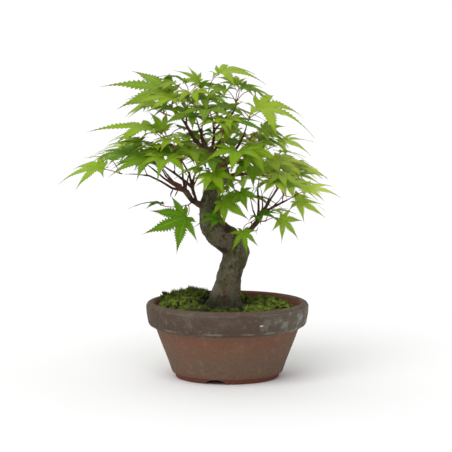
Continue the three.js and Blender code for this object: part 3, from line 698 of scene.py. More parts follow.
old_verts = [v for v, thick in zip(wood.verts, thickness(wood)) if thick > OLD_WOOD]
eased(wood, old_verts, EASE_ROUNDS)
inner_bend = [v for v in old_verts if (v.co - BEND).length < BEND_REACH]
eased(wood, inner_bend, BEND_ROUNDS)
wood.normal_update()
behind = thickness(wood)
layer = wood.verts.layers.float.new("thick")
for v, thick in zip(wood.verts, behind):
    v[layer] = min(1.0, thick / FULL_THICKNESS)
for v, thick in zip(wood.verts, behind):
    v.co += v.normal * (bark_height(v.co, thick) + hollow_push(v.co))
print("eased", len(old_verts), "points of old wood,", len(inner_bend), "inside the bend")

# %% [markdown]
# Old maple bark is grey-brown with olive algae, pale lichen, rusty streaks and dark cracks.
# Painted shade makes it nearly black at the foot and in the wound, and painted light makes its
# left side paler. Young twigs are red-brown. The thickness that was measured above decides
# between the two, so the colour changes where the wood does.

# %% Bark finish
GREY_BARK, BROWN_BARK, PALE_BARK = rgb(104, 98, 76), rgb(58, 50, 38), rgb(136, 132, 110)
ALGAE, LICHEN, RUST_STREAK = rgb(76, 80, 40), rgb(158, 158, 136), rgb(100, 62, 44)
CRACK, SCALE = rgb(34, 28, 22), rgb(38, 34, 26)
LIT_LEFT_BARK, FOOT_SHADE_BARK, ROT_AND_SHADE = rgb(118, 116, 98), rgb(40, 38, 27), rgb(24, 20, 18)
RED_TWIG, DARK_TWIG = rgb(94, 56, 42), rgb(54, 36, 28)


def old_bark(bark, cracks):
    """Grey bark under algae, lichen, streaks and cracks, with painted light on its left side and painted
    shade at the foot and in the rotten wound.
    """
    grey = bark.mix(bark.blotches(45, 0.5, 0.12), GREY_BARK, BROWN_BARK)
    grey = bark.over(grey, bark.blotches(70, 0.5, 0.12), ALGAE, 0.75)
    grey = bark.over(grey, bark.blotches(150, 0.42, 0.1, bark.stretched(1, 1, 0.6)), PALE_BARK, 0.6)
    grey = bark.over(grey, bark.blotches(60, 0.45, 0.1, bark.stretched(3, 3, 1)), RUST_STREAK, 0.65)
    grey = bark.over(grey, cracks, CRACK, 0.6)
    grey = bark.over(grey, bark.blotches(330, 0.46, 0.08), SCALE, 0.55)
    grey = bark.over(grey, bark.blotches(240, 0.36, 0.06), LICHEN, 0.65)
    # Painted light: the trunk's left side is lighter grey between these heights.
    left = bark.step(bark.part(bark.from_point(pot_axis), "X"), -0.004, -0.014)
    lit_left = bark.math("MULTIPLY", left, bark.band(0.078, 0.126, 0.012))
    grey = bark.over(grey, lit_left, LIT_LEFT_BARK, 0.6)
    # Painted shade: the trunk's foot, down among the moss, is nearly black.
    grey = bark.over(grey, bark.band(0.05, 0.077, 0.012), FOOT_SHADE_BARK, 0.75)
    # Rotten wood with painted shade: the hollow of the wound is painted nearly black.
    hollow_shade = bark.step(bark.length(bark.from_point(HOLLOW)), 0.0078, 0.0046)
    return bark.over(grey, hollow_shade, ROT_AND_SHADE, 0.8)


def bark_finish():
    """Old bark on thick wood and red-brown bark on twigs."""
    bark = Finish("bark", 0.85, 0.25)
    cracks = bark.blotches(100, 0.42, 0.08, bark.stretched(4, 4, 1))
    twig = bark.mix(bark.blotches(90, 0.5, 0.2), RED_TWIG, DARK_TWIG)
    old = bark.ramp(bark.attribute("thick"), 0.16, 0.42)
    bark.colour(bark.mix(old, twig, old_bark(bark, cracks)))
    fine = bark.placed(GRAIN, None, Scale=1800.0)
    long = bark.placed(GRAIN, bark.stretched(4, 4, 1), Scale=160.0)
    bark.bump([(fine, 0.5), (long, 0.9), (cracks, -0.8)], 0.0012)
    bark.rough(fine, 0.7, 0.95)
    return bark.material


wood_piece = finish_piece("wood", wood, bark_finish(), ["trunk_and_branches"])
print("wood", len(wood_piece.data.polygons), "faces")

# %% [markdown]
# Moss grows in cushions of thousands of tiny leafy stems. Modelling one stem and setting it
# thousands of times gives the real look, as long as the stem is light: here it is a ring of six
# narrow cones, eighteen faces in all.

# %% One moss tuft
TUFT_LEAVES = 6
INNER_LEAN, LEAN_STEP = 24, 22


def tuft_mesh():
    """One moss stem, one unit long, standing on the origin."""
    bm = bmesh.new()
    for i in range(TUFT_LEAVES):
        made = bmesh.ops.create_cone(
            bm, cap_ends=False, segments=3, radius1=0.2, radius2=0, depth=1.0,
            matrix=Matrix.Translation((0, 0, 0.5)),
        )
        lean = Matrix.Rotation(math.radians(INNER_LEAN + LEAN_STEP * (i % 2)), 3, "X")
        spin = Matrix.Rotation(i * math.tau / TUFT_LEAVES, 3, "Z")
        bmesh.ops.rotate(bm, verts=made["verts"], matrix=spin @ lean)
    mesh = bpy.data.meshes.new("tuft")
    bm.to_mesh(mesh)
    bm.free()
    return mesh


tuft = tuft_mesh()
print("one tuft has", len(tuft.polygons), "faces")

# %% [markdown]
# Moss and soil grains are both scattered. Faces that look up are picked by their area, so the
# points spread evenly, and every draw comes from a seeded source, so each run is the same.
# The copies are joined in small batches, because a bmesh slows down as it grows.

# %% Scatter and copy
def scatter_points(bm, count, rng, facing=0.1):
    """Seeded points and normals spread evenly over the faces that look up."""
    faces = [f for f in bm.faces if f.normal.z > facing]
    areas = [f.calc_area() for f in faces]
    for face in rng.choices(faces, areas, k=count):
        corners = [v.co for v in face.verts]
        a, b = rng.random(), rng.random()
        if a + b > 1:
            a, b = 1 - a, 1 - b
        yield corners[0] + (corners[1] - corners[0]) * a + (corners[2] - corners[0]) * b, face.normal.copy()


def set_copies(bm, mesh, places, batch=40):
    """Adds a copy of the mesh at each place, with its own shade. Small batches keep it quick."""
    if not bm.verts.layers.float.get("shade"):
        bm.verts.layers.float.new("shade")
    for first in range(0, len(places), batch):
        part = bmesh.new()
        shade = part.verts.layers.float.new("shade")
        for matrix, value in places[first : first + batch]:
            before = len(part.verts)
            part.from_mesh(mesh)
            part.verts.ensure_lookup_table()
            fresh = part.verts[before:]
            bmesh.ops.transform(part, matrix=matrix, verts=fresh)
            for v in fresh:
                v[shade] = value
        batch_mesh = bpy.data.meshes.new("batch")
        part.to_mesh(batch_mesh)
        part.free()
        bm.from_mesh(batch_mesh)
        bpy.data.meshes.remove(batch_mesh)


bm = bmesh.new()
set_copies(bm, tuft, [(Matrix.Translation((x, 0, 0)), 0.5) for x in range(3)])
print("three copies have", len(bm.faces), "faces")
bm.free()

# %% [markdown]
# Moss is bright where it is young and nearly black in the gaps. Each tuft carries its own shade,
# and wide blotches turn some of it darker or brown. Painted shade makes it darker close to the
# trunk, and at the front it is thin, where soil shows through, and darkened by painted shade.

# %% Moss finish
GAP, YOUNG_MOSS, DARK_MOSS, BROWN_MOSS = rgb(28, 32, 20), rgb(150, 172, 62), rgb(40, 52, 16), rgb(116, 96, 50)
SHADED_MOSS, BARE_AND_SHADED_PATCH = rgb(34, 36, 22), rgb(46, 42, 28)
THIN_SHADED_MIDDLE = pot_axis + Vector((-0.014, -0.05, 0))


def moss_finish():
    """Green by the tuft's own shade, with dark and brown patches, painted shade near the trunk, and a thin
    front with painted shade.
    """
    moss = Finish("moss", 0.8, 0.2)
    base = moss.mix(moss.attribute("shade"), GAP, YOUNG_MOSS)
    base = moss.over(base, moss.blotches(60, 0.42, 0.15), DARK_MOSS, 0.6)
    base = moss.over(base, moss.blotches(34, 0.3, 0.12), BROWN_MOSS, 0.4)
    away = moss.length(moss.scaled(moss.from_point(pot_axis), (1, 1, 0)))
    base = moss.over(base, moss.step(away, 0.04, 0.02), SHADED_MOSS, 0.7)
    # Bare soil showing through at the front, with painted shade from the trunk darkening it.
    front = moss.length(moss.scaled(moss.from_point(THIN_SHADED_MIDDLE), (1, 0.8, 0)))
    thin = moss.math("MULTIPLY", moss.step(front, 0.036, 0.02), 0.75)
    bare_and_shaded = moss.math("MULTIPLY", thin, moss.blotches(150, 0.62, 0.12))
    moss.colour(moss.mix(bare_and_shaded, base, BARE_AND_SHADED_PATCH))
    fine = moss.placed(GRAIN, None, Scale=1500.0)
    moss.bump([(fine, 1.0)], 0.0005)
    moss.rough(fine, 0.7, 0.95)
    return moss.material


MOSS = moss_finish()
print("moss has", len(MOSS.node_tree.nodes), "nodes")

# %% [markdown]
# The frame's cushions give each mound its size and place. A copy is cut finer and lifted by
# noise into bumps, and then tufts are set all over it. They lean between the surface's own
# direction and straight up, as moss grows towards the light.

# %% Moss cushions
TUFTS = 620
CUSHION_SKIRT = 0.0006


def upright(direction):
    """The turn that stands a tuft along a direction."""
    return direction.normalized().to_track_quat("Z", "Y").to_matrix().to_4x4()


def clamped(value):
    return min(1.0, max(0.0, value))


def moss_cushion(name, rng):
    """A frame cushion with bumps, covered in tufts."""
    bm = merged_copy(name)
    bmesh.ops.subdivide_edges(bm, edges=bm.edges, cuts=3, use_grid_fill=True)
    bmesh.ops.triangulate(bm, faces=bm.faces)
    bm.normal_update()
    low = min(v.co.z for v in bm.verts)
    for v in bm.verts:
        if v.co.z > low + CUSHION_SKIRT:
            bumps = noise.noise(v.co * 120) * 2.0 + noise.noise(v.co * 330) * 1.4 + 0.2
            v.co += Vector((0, 0, 1)) * bumps * MM - v.normal * 0.4 * MM
    bm.normal_update()
    places = []
    for point, normal in scatter_points(bm, TUFTS, rng, 0.05):
        size = MM * rng.uniform(1.5, 3.2) * (1.5 if noise.noise(point * 90) > 0.2 else 1)
        up = normal * 0.5 + Vector((rng.uniform(-0.3, 0.3), rng.uniform(-0.3, 0.3), 0.8))
        spin = Matrix.Rotation(rng.uniform(0, math.tau), 4, "Z")
        tone = clamped(rng.gauss(0.5, 0.22) + 1.1 * noise.noise(point * 230))
        shape = upright(up) @ spin @ Matrix.Scale(size, 4)
        places.append((Matrix.Translation(point) @ shape, tone))
    set_copies(bm, tuft, places)
    return bm


moss_names = sorted(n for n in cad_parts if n.startswith("moss_"))
for index, name in enumerate(moss_names):
    cushion = moss_cushion(name, random.Random(40 + index))
    piece = finish_piece(f"{name}_tufts", cushion, MOSS, [name])
print("moss cushions", len(moss_names), "faces in the last", len(piece.data.polygons))

# %% [markdown]
# At the back left the moss has climbed the pot's wall up to the rim. The bank is a slope worked
# out from two random shares: one along the arc of the wall, one from its foot to the rim. The
# soil's height under each tuft is found with a ray, and noise makes the crest uneven.

# %% Moss bank
BANK_ARC = (math.radians(98), math.radians(182))
BANK_RADII = (0.05, 0.0675)
BANK_TUFTS = 900
BANK_RISE = 0.0025


def moss_bank(rng):
    """Moss that climbs the wall up to the rim and a little past it."""
    soil_mesh = merged_copy("soil")
    ground = BVHTree.FromBMesh(soil_mesh)
    soil_mesh.free()
    bm = bmesh.new()
    places = []
    for _ in range(BANK_TUFTS):
        t, u = rng.random(), rng.random()
        angle = BANK_ARC[0] + (BANK_ARC[1] - BANK_ARC[0]) * t
        radius = BANK_RADII[0] + (BANK_RADII[1] - BANK_RADII[0]) * u
        outward = Vector((math.cos(angle), math.sin(angle), 0))
        spot = pot_axis + outward * radius
        hit = ground.ray_cast(spot + Vector((0, 0, 0.2)), Vector((0, 0, -1)))[0]
        if hit is None:
            continue
        rise = (pot_height + BANK_RISE - hit.z) * smooth(u * 1.1) * smooth(5 * t) * smooth(4 * (1 - t))
        hit.z += rise * (0.85 + 0.5 * noise.noise(spot * 140))
        size = MM * (2.2 + 3.2 * rng.random() ** 3)
        up = Vector((rng.uniform(-0.4, 0.4), rng.uniform(-0.4, 0.3), 1)) - outward * 0.2
        tone = clamped(0.4 + 0.9 * noise.noise(hit * 200) + rng.uniform(-0.2, 0.2))
        places.append((Matrix.Translation(hit) @ upright(up) @ Matrix.Scale(size, 4), tone))
    set_copies(bm, tuft, places)
    return bm


bank = finish_piece("moss_bank", moss_bank(random.Random(63)), MOSS)
print("bank", len(bank.data.polygons), "faces")

# %% [markdown]
# Between the cushions a thin film of moss creeps over the soil, and it thins out towards the
# trunk. Points are scattered on the frame's soil and kept or dropped by noise. Taller single
# stems stand on the far cushions, and they break the outline above the rim.

# %% Moss film and tall stems
FILM_TUFTS = 1500
BARE_RADIUS = 0.024
SOIL_TOP_FROM = 0.05


def moss_film(rng):
    """Thin moss on open soil: none close to the trunk, more towards the wall."""
    ground = merged_copy("soil")
    bmesh.ops.triangulate(ground, faces=ground.faces)
    ground.normal_update()
    bm = bmesh.new()
    places = []
    for point, _ in scatter_points(ground, FILM_TUFTS * 3, rng, 0.5):
        away = (point - pot_axis).xy.length
        if point.z < SOIL_TOP_FROM or away < BARE_RADIUS or noise.noise(point * 70) < 0.1 - away:
            continue
        size = MM * rng.uniform(1.2, 2.4)
        spin = Matrix.Rotation(rng.uniform(0, math.tau), 4, "Z")
        lean = Matrix.Rotation(rng.uniform(-0.5, 0.5), 4, "X")
        shape = spin @ lean @ Matrix.Scale(size, 4)
        places.append((Matrix.Translation(point) @ shape, rng.uniform(0.1, 0.9)))
    ground.free()
    set_copies(bm, tuft, places[:FILM_TUFTS])
    return bm


TALL_STEMS = (("moss_back_left", 210, 8.0), ("moss_left", 110, 5.5), ("moss_back", 110, 6.0))
SHORTEST_MM = 2.5


def moss_spikes(rng):
    """Taller upright stems on the far left cushions, which stand up past the rim."""
    bm = bmesh.new()
    places = []
    for name, count, longest in TALL_STEMS:
        cushion = merged_copy(name)
        cushion.normal_update()
        for point, normal in scatter_points(cushion, count, rng, 0.3):
            size = MM * (SHORTEST_MM + (longest - SHORTEST_MM) * rng.random() ** 2)
            lean = Vector((rng.uniform(-0.5, 0.5), rng.uniform(-0.2, 0.5), 1.2)) + normal * 0.4
            thin = Matrix.Diagonal((0.5, 0.5, 1, 1))
            shape = upright(lean) @ Matrix.Scale(size, 4) @ thin
            places.append((Matrix.Translation(point) @ shape, rng.uniform(0.0, 0.5)))
        cushion.free()
    set_copies(bm, tuft, places)
    return bm


film = finish_piece("moss_between", moss_film(random.Random(61)), MOSS)
stems = finish_piece("moss_spikes", moss_spikes(random.Random(62)), MOSS)
print("film", len(film.data.polygons), "faces, stems", len(stems.data.polygons), "faces")

# %% [markdown]
# Bonsai soil is a mix of crumbs: dark humus, red-brown clay grains and pale pumice. Each grain
# carries its own shade, and the finish turns that into a colour between soil and pumice.

# %% Soil finish
DARK_SOIL, BROWN_SOIL, PUMICE, HUMUS = rgb(46, 36, 26), rgb(66, 52, 36), rgb(168, 150, 112), rgb(50, 42, 30)


def soil_finish():
    """Dark soil, with each grain between soil and pumice by its own shade."""
    soil = Finish("soil", 0.95, 0.15)
    base = soil.mix(soil.blotches(70, 0.5, 0.3), DARK_SOIL, BROWN_SOIL)
    grain = soil.over(base, soil.attribute("shade"), PUMICE)
    soil.colour(soil.over(grain, soil.blotches(400, 0.5, 0.2), HUMUS, 0.4))
    fine = soil.placed(GRAIN, None, Scale=1500.0)
    soil.bump([(fine, 1.0)], 0.0008)
    soil.rough(fine, 0.8, 1.0)
    return soil.material


SOIL = soil_finish()
print("soil has", len(SOIL.node_tree.nodes), "nodes")

# %% [markdown]
# The frame's soil gives the ground. Its top is cut finer and roughened, and grains of three
# sizes lie on it. A grain is a ball of twenty faces, turned and squeezed differently each time.
# The pale grains lie mostly on the right, where the top dressing has washed to.

# %% Soil surface
GRAINS = 2600
GRAIN_SIZES_MM = (0.5, 0.8, 1.3)
PALE_SHARE_RIGHT, PALE_SHARE_LEFT = 0.5, 0.2


def grain_mesh():
    """A ball of twenty faces."""
    bm = bmesh.new()
    bmesh.ops.create_icosphere(bm, subdivisions=1, radius=1)
    mesh = bpy.data.meshes.new("grain")
    bm.to_mesh(mesh)
    bm.free()
    return mesh


def soil_surface():
    """The frame's soil with a roughened top and grains lying on it."""
    bm = merged_copy("soil")
    bm.normal_update()
    top = [f for f in bm.faces if f.normal.z > 0.5 and f.calc_center_median().z > SOIL_TOP_FROM]
    edges = list(dict.fromkeys(e for f in top for e in f.edges))
    bmesh.ops.subdivide_edges(bm, edges=edges, cuts=5, use_grid_fill=True)
    bmesh.ops.triangulate(bm, faces=bm.faces)
    bm.normal_update()
    for v in bm.verts:
        if v.co.z > SOIL_TOP_FROM and v.normal.z > 0.8:
            v.co.z += MM * (noise.noise(v.co * 150) * 0.9 + noise.noise(v.co * 500) * 0.5)
    bm.normal_update()
    rng = random.Random(7)
    places = []
    for point, normal in scatter_points(bm, GRAINS, rng, 0.5):
        if point.z < SOIL_TOP_FROM:
            continue
        right = point.x > pot_axis.x + 0.01
        pale = rng.random() < (PALE_SHARE_RIGHT if right else PALE_SHARE_LEFT)
        size = MM * rng.choice(GRAIN_SIZES_MM)
        spin = Matrix.Rotation(rng.uniform(0, math.tau), 4, (rng.random(), rng.random(), 1))
        squeeze = Matrix.Diagonal((size, size * rng.uniform(0.6, 1), size * rng.uniform(0.5, 0.9), 1))
        shade = rng.uniform(0.4, 1.0) if pale else rng.uniform(0.0, 0.25)
        places.append((Matrix.Translation(point + normal * size * 0.3) @ spin @ squeeze, shade))
    set_copies(bm, grain_mesh(), places)
    return bm


soil_piece = finish_piece("soil_surface", soil_surface(), SOIL, ["soil"], smooth=False)
print("soil", len(soil_piece.data.polygons), "faces")

# %% [markdown]
# Three pieces hide under the soil: the plastic mesh over the drain hole, the wire that holds it,
# and the drainage layer. Their shape in the frame is already right, so they only get a finish.

# %% Hidden pieces
HIDDEN = (
    ("drainage_mesh", "mesh_plastic", rgb(34, 36, 34), rgb(48, 50, 46), 200, 0.5, 0.0),
    ("mesh_wire", "wire", rgb(150, 146, 140), rgb(110, 104, 96), 300, 0.4, 0.9),
    ("drainage_layer", "pumice", rgb(176, 168, 148), rgb(120, 106, 84), 120, 0.95, 0.0),
)


def plain_finish(name, first, second, scale, roughness, metallic):
    """Two mottled colours with a fine bump."""
    made = Finish(name, roughness)
    made.shader.inputs["Metallic"].default_value = metallic
    made.colour(made.mix(made.blotches(scale, 0.5, 0.3), first, second))
    made.bump([(made.placed(GRAIN, None, Scale=scale * 8), 1.0)], 0.0003)
    return made.material


for name, *finish in HIDDEN:
    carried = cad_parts[name]
    carried.data.materials.clear()
    carried.data.materials.append(plain_finish(*finish))
print("carried over", len(HIDDEN), "hidden pieces")

# %% [markdown]
# Every leaf has its place in the frame: a flat star whose top face lies where the blade lies.
# Merging the loose triangles and dissolving the flat ones gives that star back as one face. Its
# deepest notch is the stalk end and its furthest corner is the middle lobe's tip. So the fine
# leaves need no list of places of their own.

# %% Find the leaves
STAR_CORNERS = 8
STAR_AREA = 1e-4
NOTCH_SHARE = 0.05
FLAT = math.radians(0.5)


def leaf_places(bm):
    """Stalk end, outward direction, upper side and length of each leaf of a shoot."""
    found = []
    for face in bm.faces:
        if len(face.verts) < STAR_CORNERS or face.normal.z <= 0 or face.calc_area() < STAR_AREA:
            continue
        centre = face.calc_center_median()
        tip = max((v.co for v in face.verts), key=lambda c: (c - centre).length)
        axis = (tip - centre).normalized()
        notch = min((v.co for v in face.verts), key=lambda c: (c - centre).dot(axis))
        out = (tip - notch).normalized()
        length = (tip - notch).length / (1 + NOTCH_SHARE)
        found.append((notch + out * length * NOTCH_SHARE, out, face.normal.copy(), length))
    return found


def star_mesh(name):
    """A shoot's mesh with its flat faces, the leaf stars among them, whole again."""
    bm = merged_copy(name)
    bmesh.ops.dissolve_limit(bm, angle_limit=FLAT, verts=bm.verts, edges=bm.edges)
    return bm


bm = star_mesh("leafy_shoot_01")
print("leaves on the first shoot", len(leaf_places(bm)))
bm.free()

# %% [markdown]
# A shoot grows out of a twig, so its lower end is the part of the node that lies closest to the
# wood. Its four closest corners are the end cap, and their plane gives the way it heads. The
# stalks part at a small knob, which shows as a ring of corners a certain way off that line.

# %% Find the shoots
KNOB_NEAR, KNOB_FAR = 0.00078, 0.00125
KNOB_FIRST, KNOB_LAST = 0.0005, 0.009
KNOB_HALF, NO_KNOB = 0.00105, 0.006
wood_cad = merged_copy("trunk_and_branches")
wood_tree = BVHTree.FromBMesh(wood_cad)
wood_cad.free()


def shoot_place(bm):
    """Where the shoot starts on its twig, where its stalks part, and which way it heads."""
    reach = [(wood_tree.find_nearest(v.co)[3], v) for v in bm.verts]
    reach.sort(key=lambda pair: pair[0])
    cap = [v.co for _, v in reach[:4]]
    root = sum(cap, Vector()) / 4
    (a, b, c) = cap[:3]
    heading = (b - a).cross(c - a).normalized()
    middle = sum((v.co for v in bm.verts), Vector()) / len(bm.verts)
    if heading.dot(middle - root) < 0:
        heading = -heading
    knob = []
    for _, v in reach:
        offset = v.co - root
        along = offset.dot(heading)
        beside = (offset - heading * along).length
        if KNOB_NEAR < beside < KNOB_FAR and KNOB_FIRST < along < KNOB_LAST:
            knob.append(along)
    fork = root + heading * ((min(knob) + KNOB_HALF) if knob else NO_KNOB)
    return root, fork, heading


shoots = {}
for name in sorted(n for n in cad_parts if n.startswith("leafy_shoot")):
    bm = star_mesh(name)
    shoots[name] = (leaf_places(bm), shoot_place(bm))
    bm.free()
print("shoots", len(shoots), "leaves", sum(len(leaves) for leaves, _ in shoots.values()))

# %% [markdown]
# A maple leaf is a hand of lobes. Each lobe is one strip of a grid, laid along its midrib. Its
# first rows end on the line shared with the next lobe, so that merging close points welds the
# strips into one blade. Past the cleft the rows follow the lobe's own outline: every second row
# is a tooth that leans towards the tip, and the tip is drawn out to a point.

# %% Leaf outline
LOBES = [(-120, 0.28), (-84, 0.58), (-42, 0.85), (0, 1.0), (42, 0.85), (84, 0.58), (120, 0.28)]
CLEFT_SHARE = 0.27
ROWS, CLEFT_ROWS, ACROSS = 30, 6, 4
OUTER_HALF = math.radians(22)
TOOTH_LEAN, TOOTH_DEPTH = 0.022, 0.062


def lobe_taper(t):
    """How wide a lobe is at t between its cleft (0) and its tip (1)."""
    return (1 - t ** 1.35) ** 1.25 * (1 + 0.35 * math.sin(math.pi * min(1.0, 1.6 * t)))


def lobe_point(row, v, size, swell, sides):
    """A flat point of one lobe. Each side is (half angle, cleft radius)."""
    half, cleft = sides[0] if v < 0 else sides[1]
    start = sum(c * math.cos(h) for h, c in sides) / 2
    share = abs(v)
    if row <= CLEFT_ROWS:
        s = row / CLEFT_ROWS
        centre = Vector((start * s, 0, 0))
        edge = Vector((math.cos(half), math.copysign(math.sin(half), v), 0)) * cleft * s
        return centre.lerp(edge, share)
    t = (row - CLEFT_ROWS) / (ROWS - CLEFT_ROWS)
    width = cleft * math.sin(half) * lobe_taper(t) * (1 + (swell - 1) * smooth(t / 0.15))
    tooth = row % 2 * (1 - t ** 2)
    x = start + (size - start) * t + share ** 3 * tooth * TOOTH_LEAN * size
    side_x = cleft * math.cos(half) - start
    x += side_x * share * (1 - smooth(t / 0.2))
    width += share * (tooth - 0.4) * TOOTH_DEPTH * size * (1 - t) ** 0.5
    width = max(width, 0.006 * size * (1 - t))
    return Vector((x, math.copysign(share * width, v), 0))


print("lobe widths", [round(lobe_taper(t / 4), 2) for t in range(5)])

# %% [markdown]
# A young blade is never flat: it arches from the stalk, its lobes fold along their midribs and
# hang down around it like a loose umbrella. Each lobe starts as a grid, and every point is moved
# to its place on the outline, then bent. Two values stay on each point, how far along and how
# far across its lobe it is, so that the finish can draw the veins. Leaves deep in the crown are
# broader than those outside, as shade leaves are.

# %% One leaf blade
OUTER_SHARE = 0.2


def leaf_blade(length, rng, broad=0.0):
    """One blade on the origin, pointing along X. Broad runs from 0, outside, to 1, inside."""
    bm = bmesh.new()
    along_layer = bm.verts.layers.float.new("along")
    across_layer = bm.verts.layers.float.new("across")
    arch, sag, fold = rng.uniform(0.12, 0.3), rng.uniform(0.1, 0.3), rng.uniform(0.02, 0.22)
    swell = rng.uniform(0.95, 1.2) + 0.45 * broad
    angles = [math.radians(a + rng.uniform(-5, 5)) for a, _ in LOBES]
    halves = [OUTER_HALF] + [(b - a) / 2 for a, b in zip(angles, angles[1:])] + [OUTER_HALF]
    shares = [OUTER_SHARE] + [share for _, share in LOBES] + [OUTER_SHARE]
    cleft = (CLEFT_SHARE + 0.1 * broad) * length
    clefts = [cleft * min(a, b) ** 0.7 for a, b in zip(shares, shares[1:])]
    for i, (spread, share) in enumerate(LOBES):
        size = share * length * (rng.uniform(0.9, 1.05) if spread else 1)
        sides = [(halves[i], clefts[i]), (halves[i + 1], clefts[i + 1])]
        lift = sag * (0.3 + 1.1 * abs(spread) / 84) * rng.uniform(0.6, 1.3)
        twist, bow = rng.uniform(-0.5, 0.5), rng.uniform(-0.1, 0.1)
        made = bmesh.ops.create_grid(bm, x_segments=ROWS, y_segments=ACROSS, size=1)
        turn = Matrix.Rotation(angles[i], 3, "Z")
        for vert in made["verts"]:
            row, v = round((vert.co.x + 1) / 2 * ROWS), vert.co.y
            flat = lobe_point(row, v, size, swell, sides)
            reach = flat.length / length
            free = smooth((reach - CLEFT_SHARE) / 0.22)
            side = flat.y
            flat.y += bow * size * free * reach ** 2
            flat.z = arch * length * 2 * reach * (1 - reach)
            flat.z += free * (fold * abs(side) + twist * side * reach - lift * size * reach ** 1.5)
            vert[along_layer] = row / ROWS
            vert[across_layer] = v
            vert.co = turn @ flat
    bmesh.ops.remove_doubles(bm, verts=bm.verts, dist=length * 0.0005)
    return bm


test = leaf_blade(0.05, random.Random(1))
print("one blade has", len(test.faces), "faces, open edges", sum(e.is_boundary for e in test.edges))
test.free()

# %% [markdown]
# Fresh maple leaves let light through, so the shader has some subsurface scattering. The colour
# runs from yellow-green to deep green by a value that each leaf carries, and from full to pale by
# another; both hold painted light and shade from the leaf's place in the crown.
# The midrib and the side veins are drawn from the two values along and across each lobe: a vein
# is where a sine that leans with the distance from the midrib is near its peak. The tips and
# the toothed edges of young leaves are rusty.

# %% Leaf and stalk finish
FRESH, DEEP, LIT_PALE = rgb(146, 173, 24), rgb(64, 102, 4), rgb(190, 207, 84)
LEAF_PATCH, VEIN, RUST = rgb(98, 132, 28), rgb(160, 184, 66), rgb(122, 70, 34)
RED_STALK, BROWN_STALK = rgb(142, 58, 46), rgb(118, 78, 48)
VEIN_COUNT, VEIN_LEAN, RIB_NARROW = 75.0, 3.5, 7.0


def veins_mask(leaf, across):
    """The midrib and, more faintly, the side veins."""
    rib = leaf.math("MAXIMUM", leaf.math("SUBTRACT", 1.0, leaf.math("MULTIPLY", across, RIB_NARROW)), 0.0)
    phase = leaf.math("MULTIPLY", leaf.attribute("along"), VEIN_COUNT)
    phase = leaf.math("SUBTRACT", phase, leaf.math("MULTIPLY", across, VEIN_LEAN))
    side = leaf.math("POWER", leaf.math("ABSOLUTE", leaf.math("SINE", phase, 0), 0), 8.0)
    return leaf.math("MAXIMUM", rib, leaf.math("MULTIPLY", side, 0.35))


def leaf_finish():
    """Green by the painted light and shade that each leaf carries, with veins and rusty tips and edges."""
    leaf = Finish("leaf", 0.62, 0.12)
    across = leaf.math("ABSOLUTE", leaf.attribute("across"), 0)
    base = leaf.mix(leaf.attribute("tone"), FRESH, DEEP)
    # Painted light: leaves at the back and on the right are paler.
    base = leaf.over(base, leaf.attribute("pale"), LIT_PALE, 0.8)
    base = leaf.over(base, leaf.blotches(60, 0.45, 0.3), LEAF_PATCH, 0.3)
    veins = veins_mask(leaf, across)
    base = leaf.over(base, veins, VEIN, 0.45)
    tip = leaf.ramp(leaf.attribute("along"), 0.62, 0.98)
    margin = leaf.math("MULTIPLY", leaf.math("POWER", across, 6.0), 0.35)
    rusty = leaf.math("MULTIPLY", leaf.math("MAXIMUM", tip, margin), leaf.attribute("rust"))
    leaf.colour(leaf.over(base, rusty, RUST, 0.9))
    leaf.shader.inputs["Subsurface Weight"].default_value = 0.3
    leaf.shader.inputs["Subsurface Radius"].default_value = (0.4, 1.0, 0.1)
    leaf.shader.inputs["Subsurface Scale"].default_value = 0.002
    grain = leaf.placed(GRAIN, None, Scale=900.0)
    leaf.bump([(grain, 0.5), (veins, -0.8)], 0.0003)
    leaf.rough(grain, 0.5, 0.7)
    return leaf.material


def stalk_finish():
    """Smooth red stalks, browner in patches."""
    stalk = Finish("stalk", 0.5, 0.4)
    stalk.colour(stalk.mix(stalk.blotches(60, 0.5, 0.3), RED_STALK, BROWN_STALK))
    stalk.bump([(stalk.placed(GRAIN, None, Scale=1500.0), 1.0)], 0.0001)
    return stalk.material


LEAF = leaf_finish()
STALK = stalk_finish()
print("leaf has", len(LEAF.node_tree.nodes), "nodes, stalk has", len(STALK.node_tree.nodes))

# %% [markdown]
# A stalk is a thin tube along a smooth curve. A circle is extruded step by step along the
# curve's points, each ring turned to face along it, and both ends are closed. Bridging two
# rings at a time keeps the faces clean, and a different radius for each point lets a stalk
# thicken at its foot and where it meets the blade.

# %% Tubes along a curve
def tube_along(bm, points, radii, sides=6):
    """A closed tube through the points, with its own radius at each."""
    rings = []
    for i, point in enumerate(points):
        before = points[max(0, i - 1)]
        after = points[min(len(points) - 1, i + 1)]
        turn = (after - before).to_track_quat("Z", "Y").to_matrix().to_4x4()
        place = Matrix.Translation(point) @ turn
        made = bmesh.ops.create_circle(
            bm, cap_ends=False, segments=sides, radius=radii[i], matrix=place
        )
        rings.append(made["verts"])
    for low, high in zip(rings, rings[1:]):
        edges = [e for ring in (low, high) for e in set(sum(([*v.link_edges] for v in ring), []))]
        around = [e for e in edges if any(all(v in ring for v in e.verts) for ring in (low, high))]
        bmesh.ops.bridge_loops(bm, edges=list(dict.fromkeys(around)))
    for ring in (rings[0], rings[-1]):
        bmesh.ops.contextual_create(bm, geom=ring)


def bezier(a, b, c, count):
    """Points on the smooth curve from a to c that is drawn towards b."""
    return [a.lerp(b, t).lerp(b.lerp(c, t), t) for t in (i / (count - 1) for i in range(count))]


bm = bmesh.new()
tube_along(bm, bezier(Vector((0, 0, 0)), Vector((0, 0, 1)), Vector((1, 0, 1)), 5), [0.1] * 5)
print("a tube through 5 points has", len(bm.faces), "faces")
bm.free()

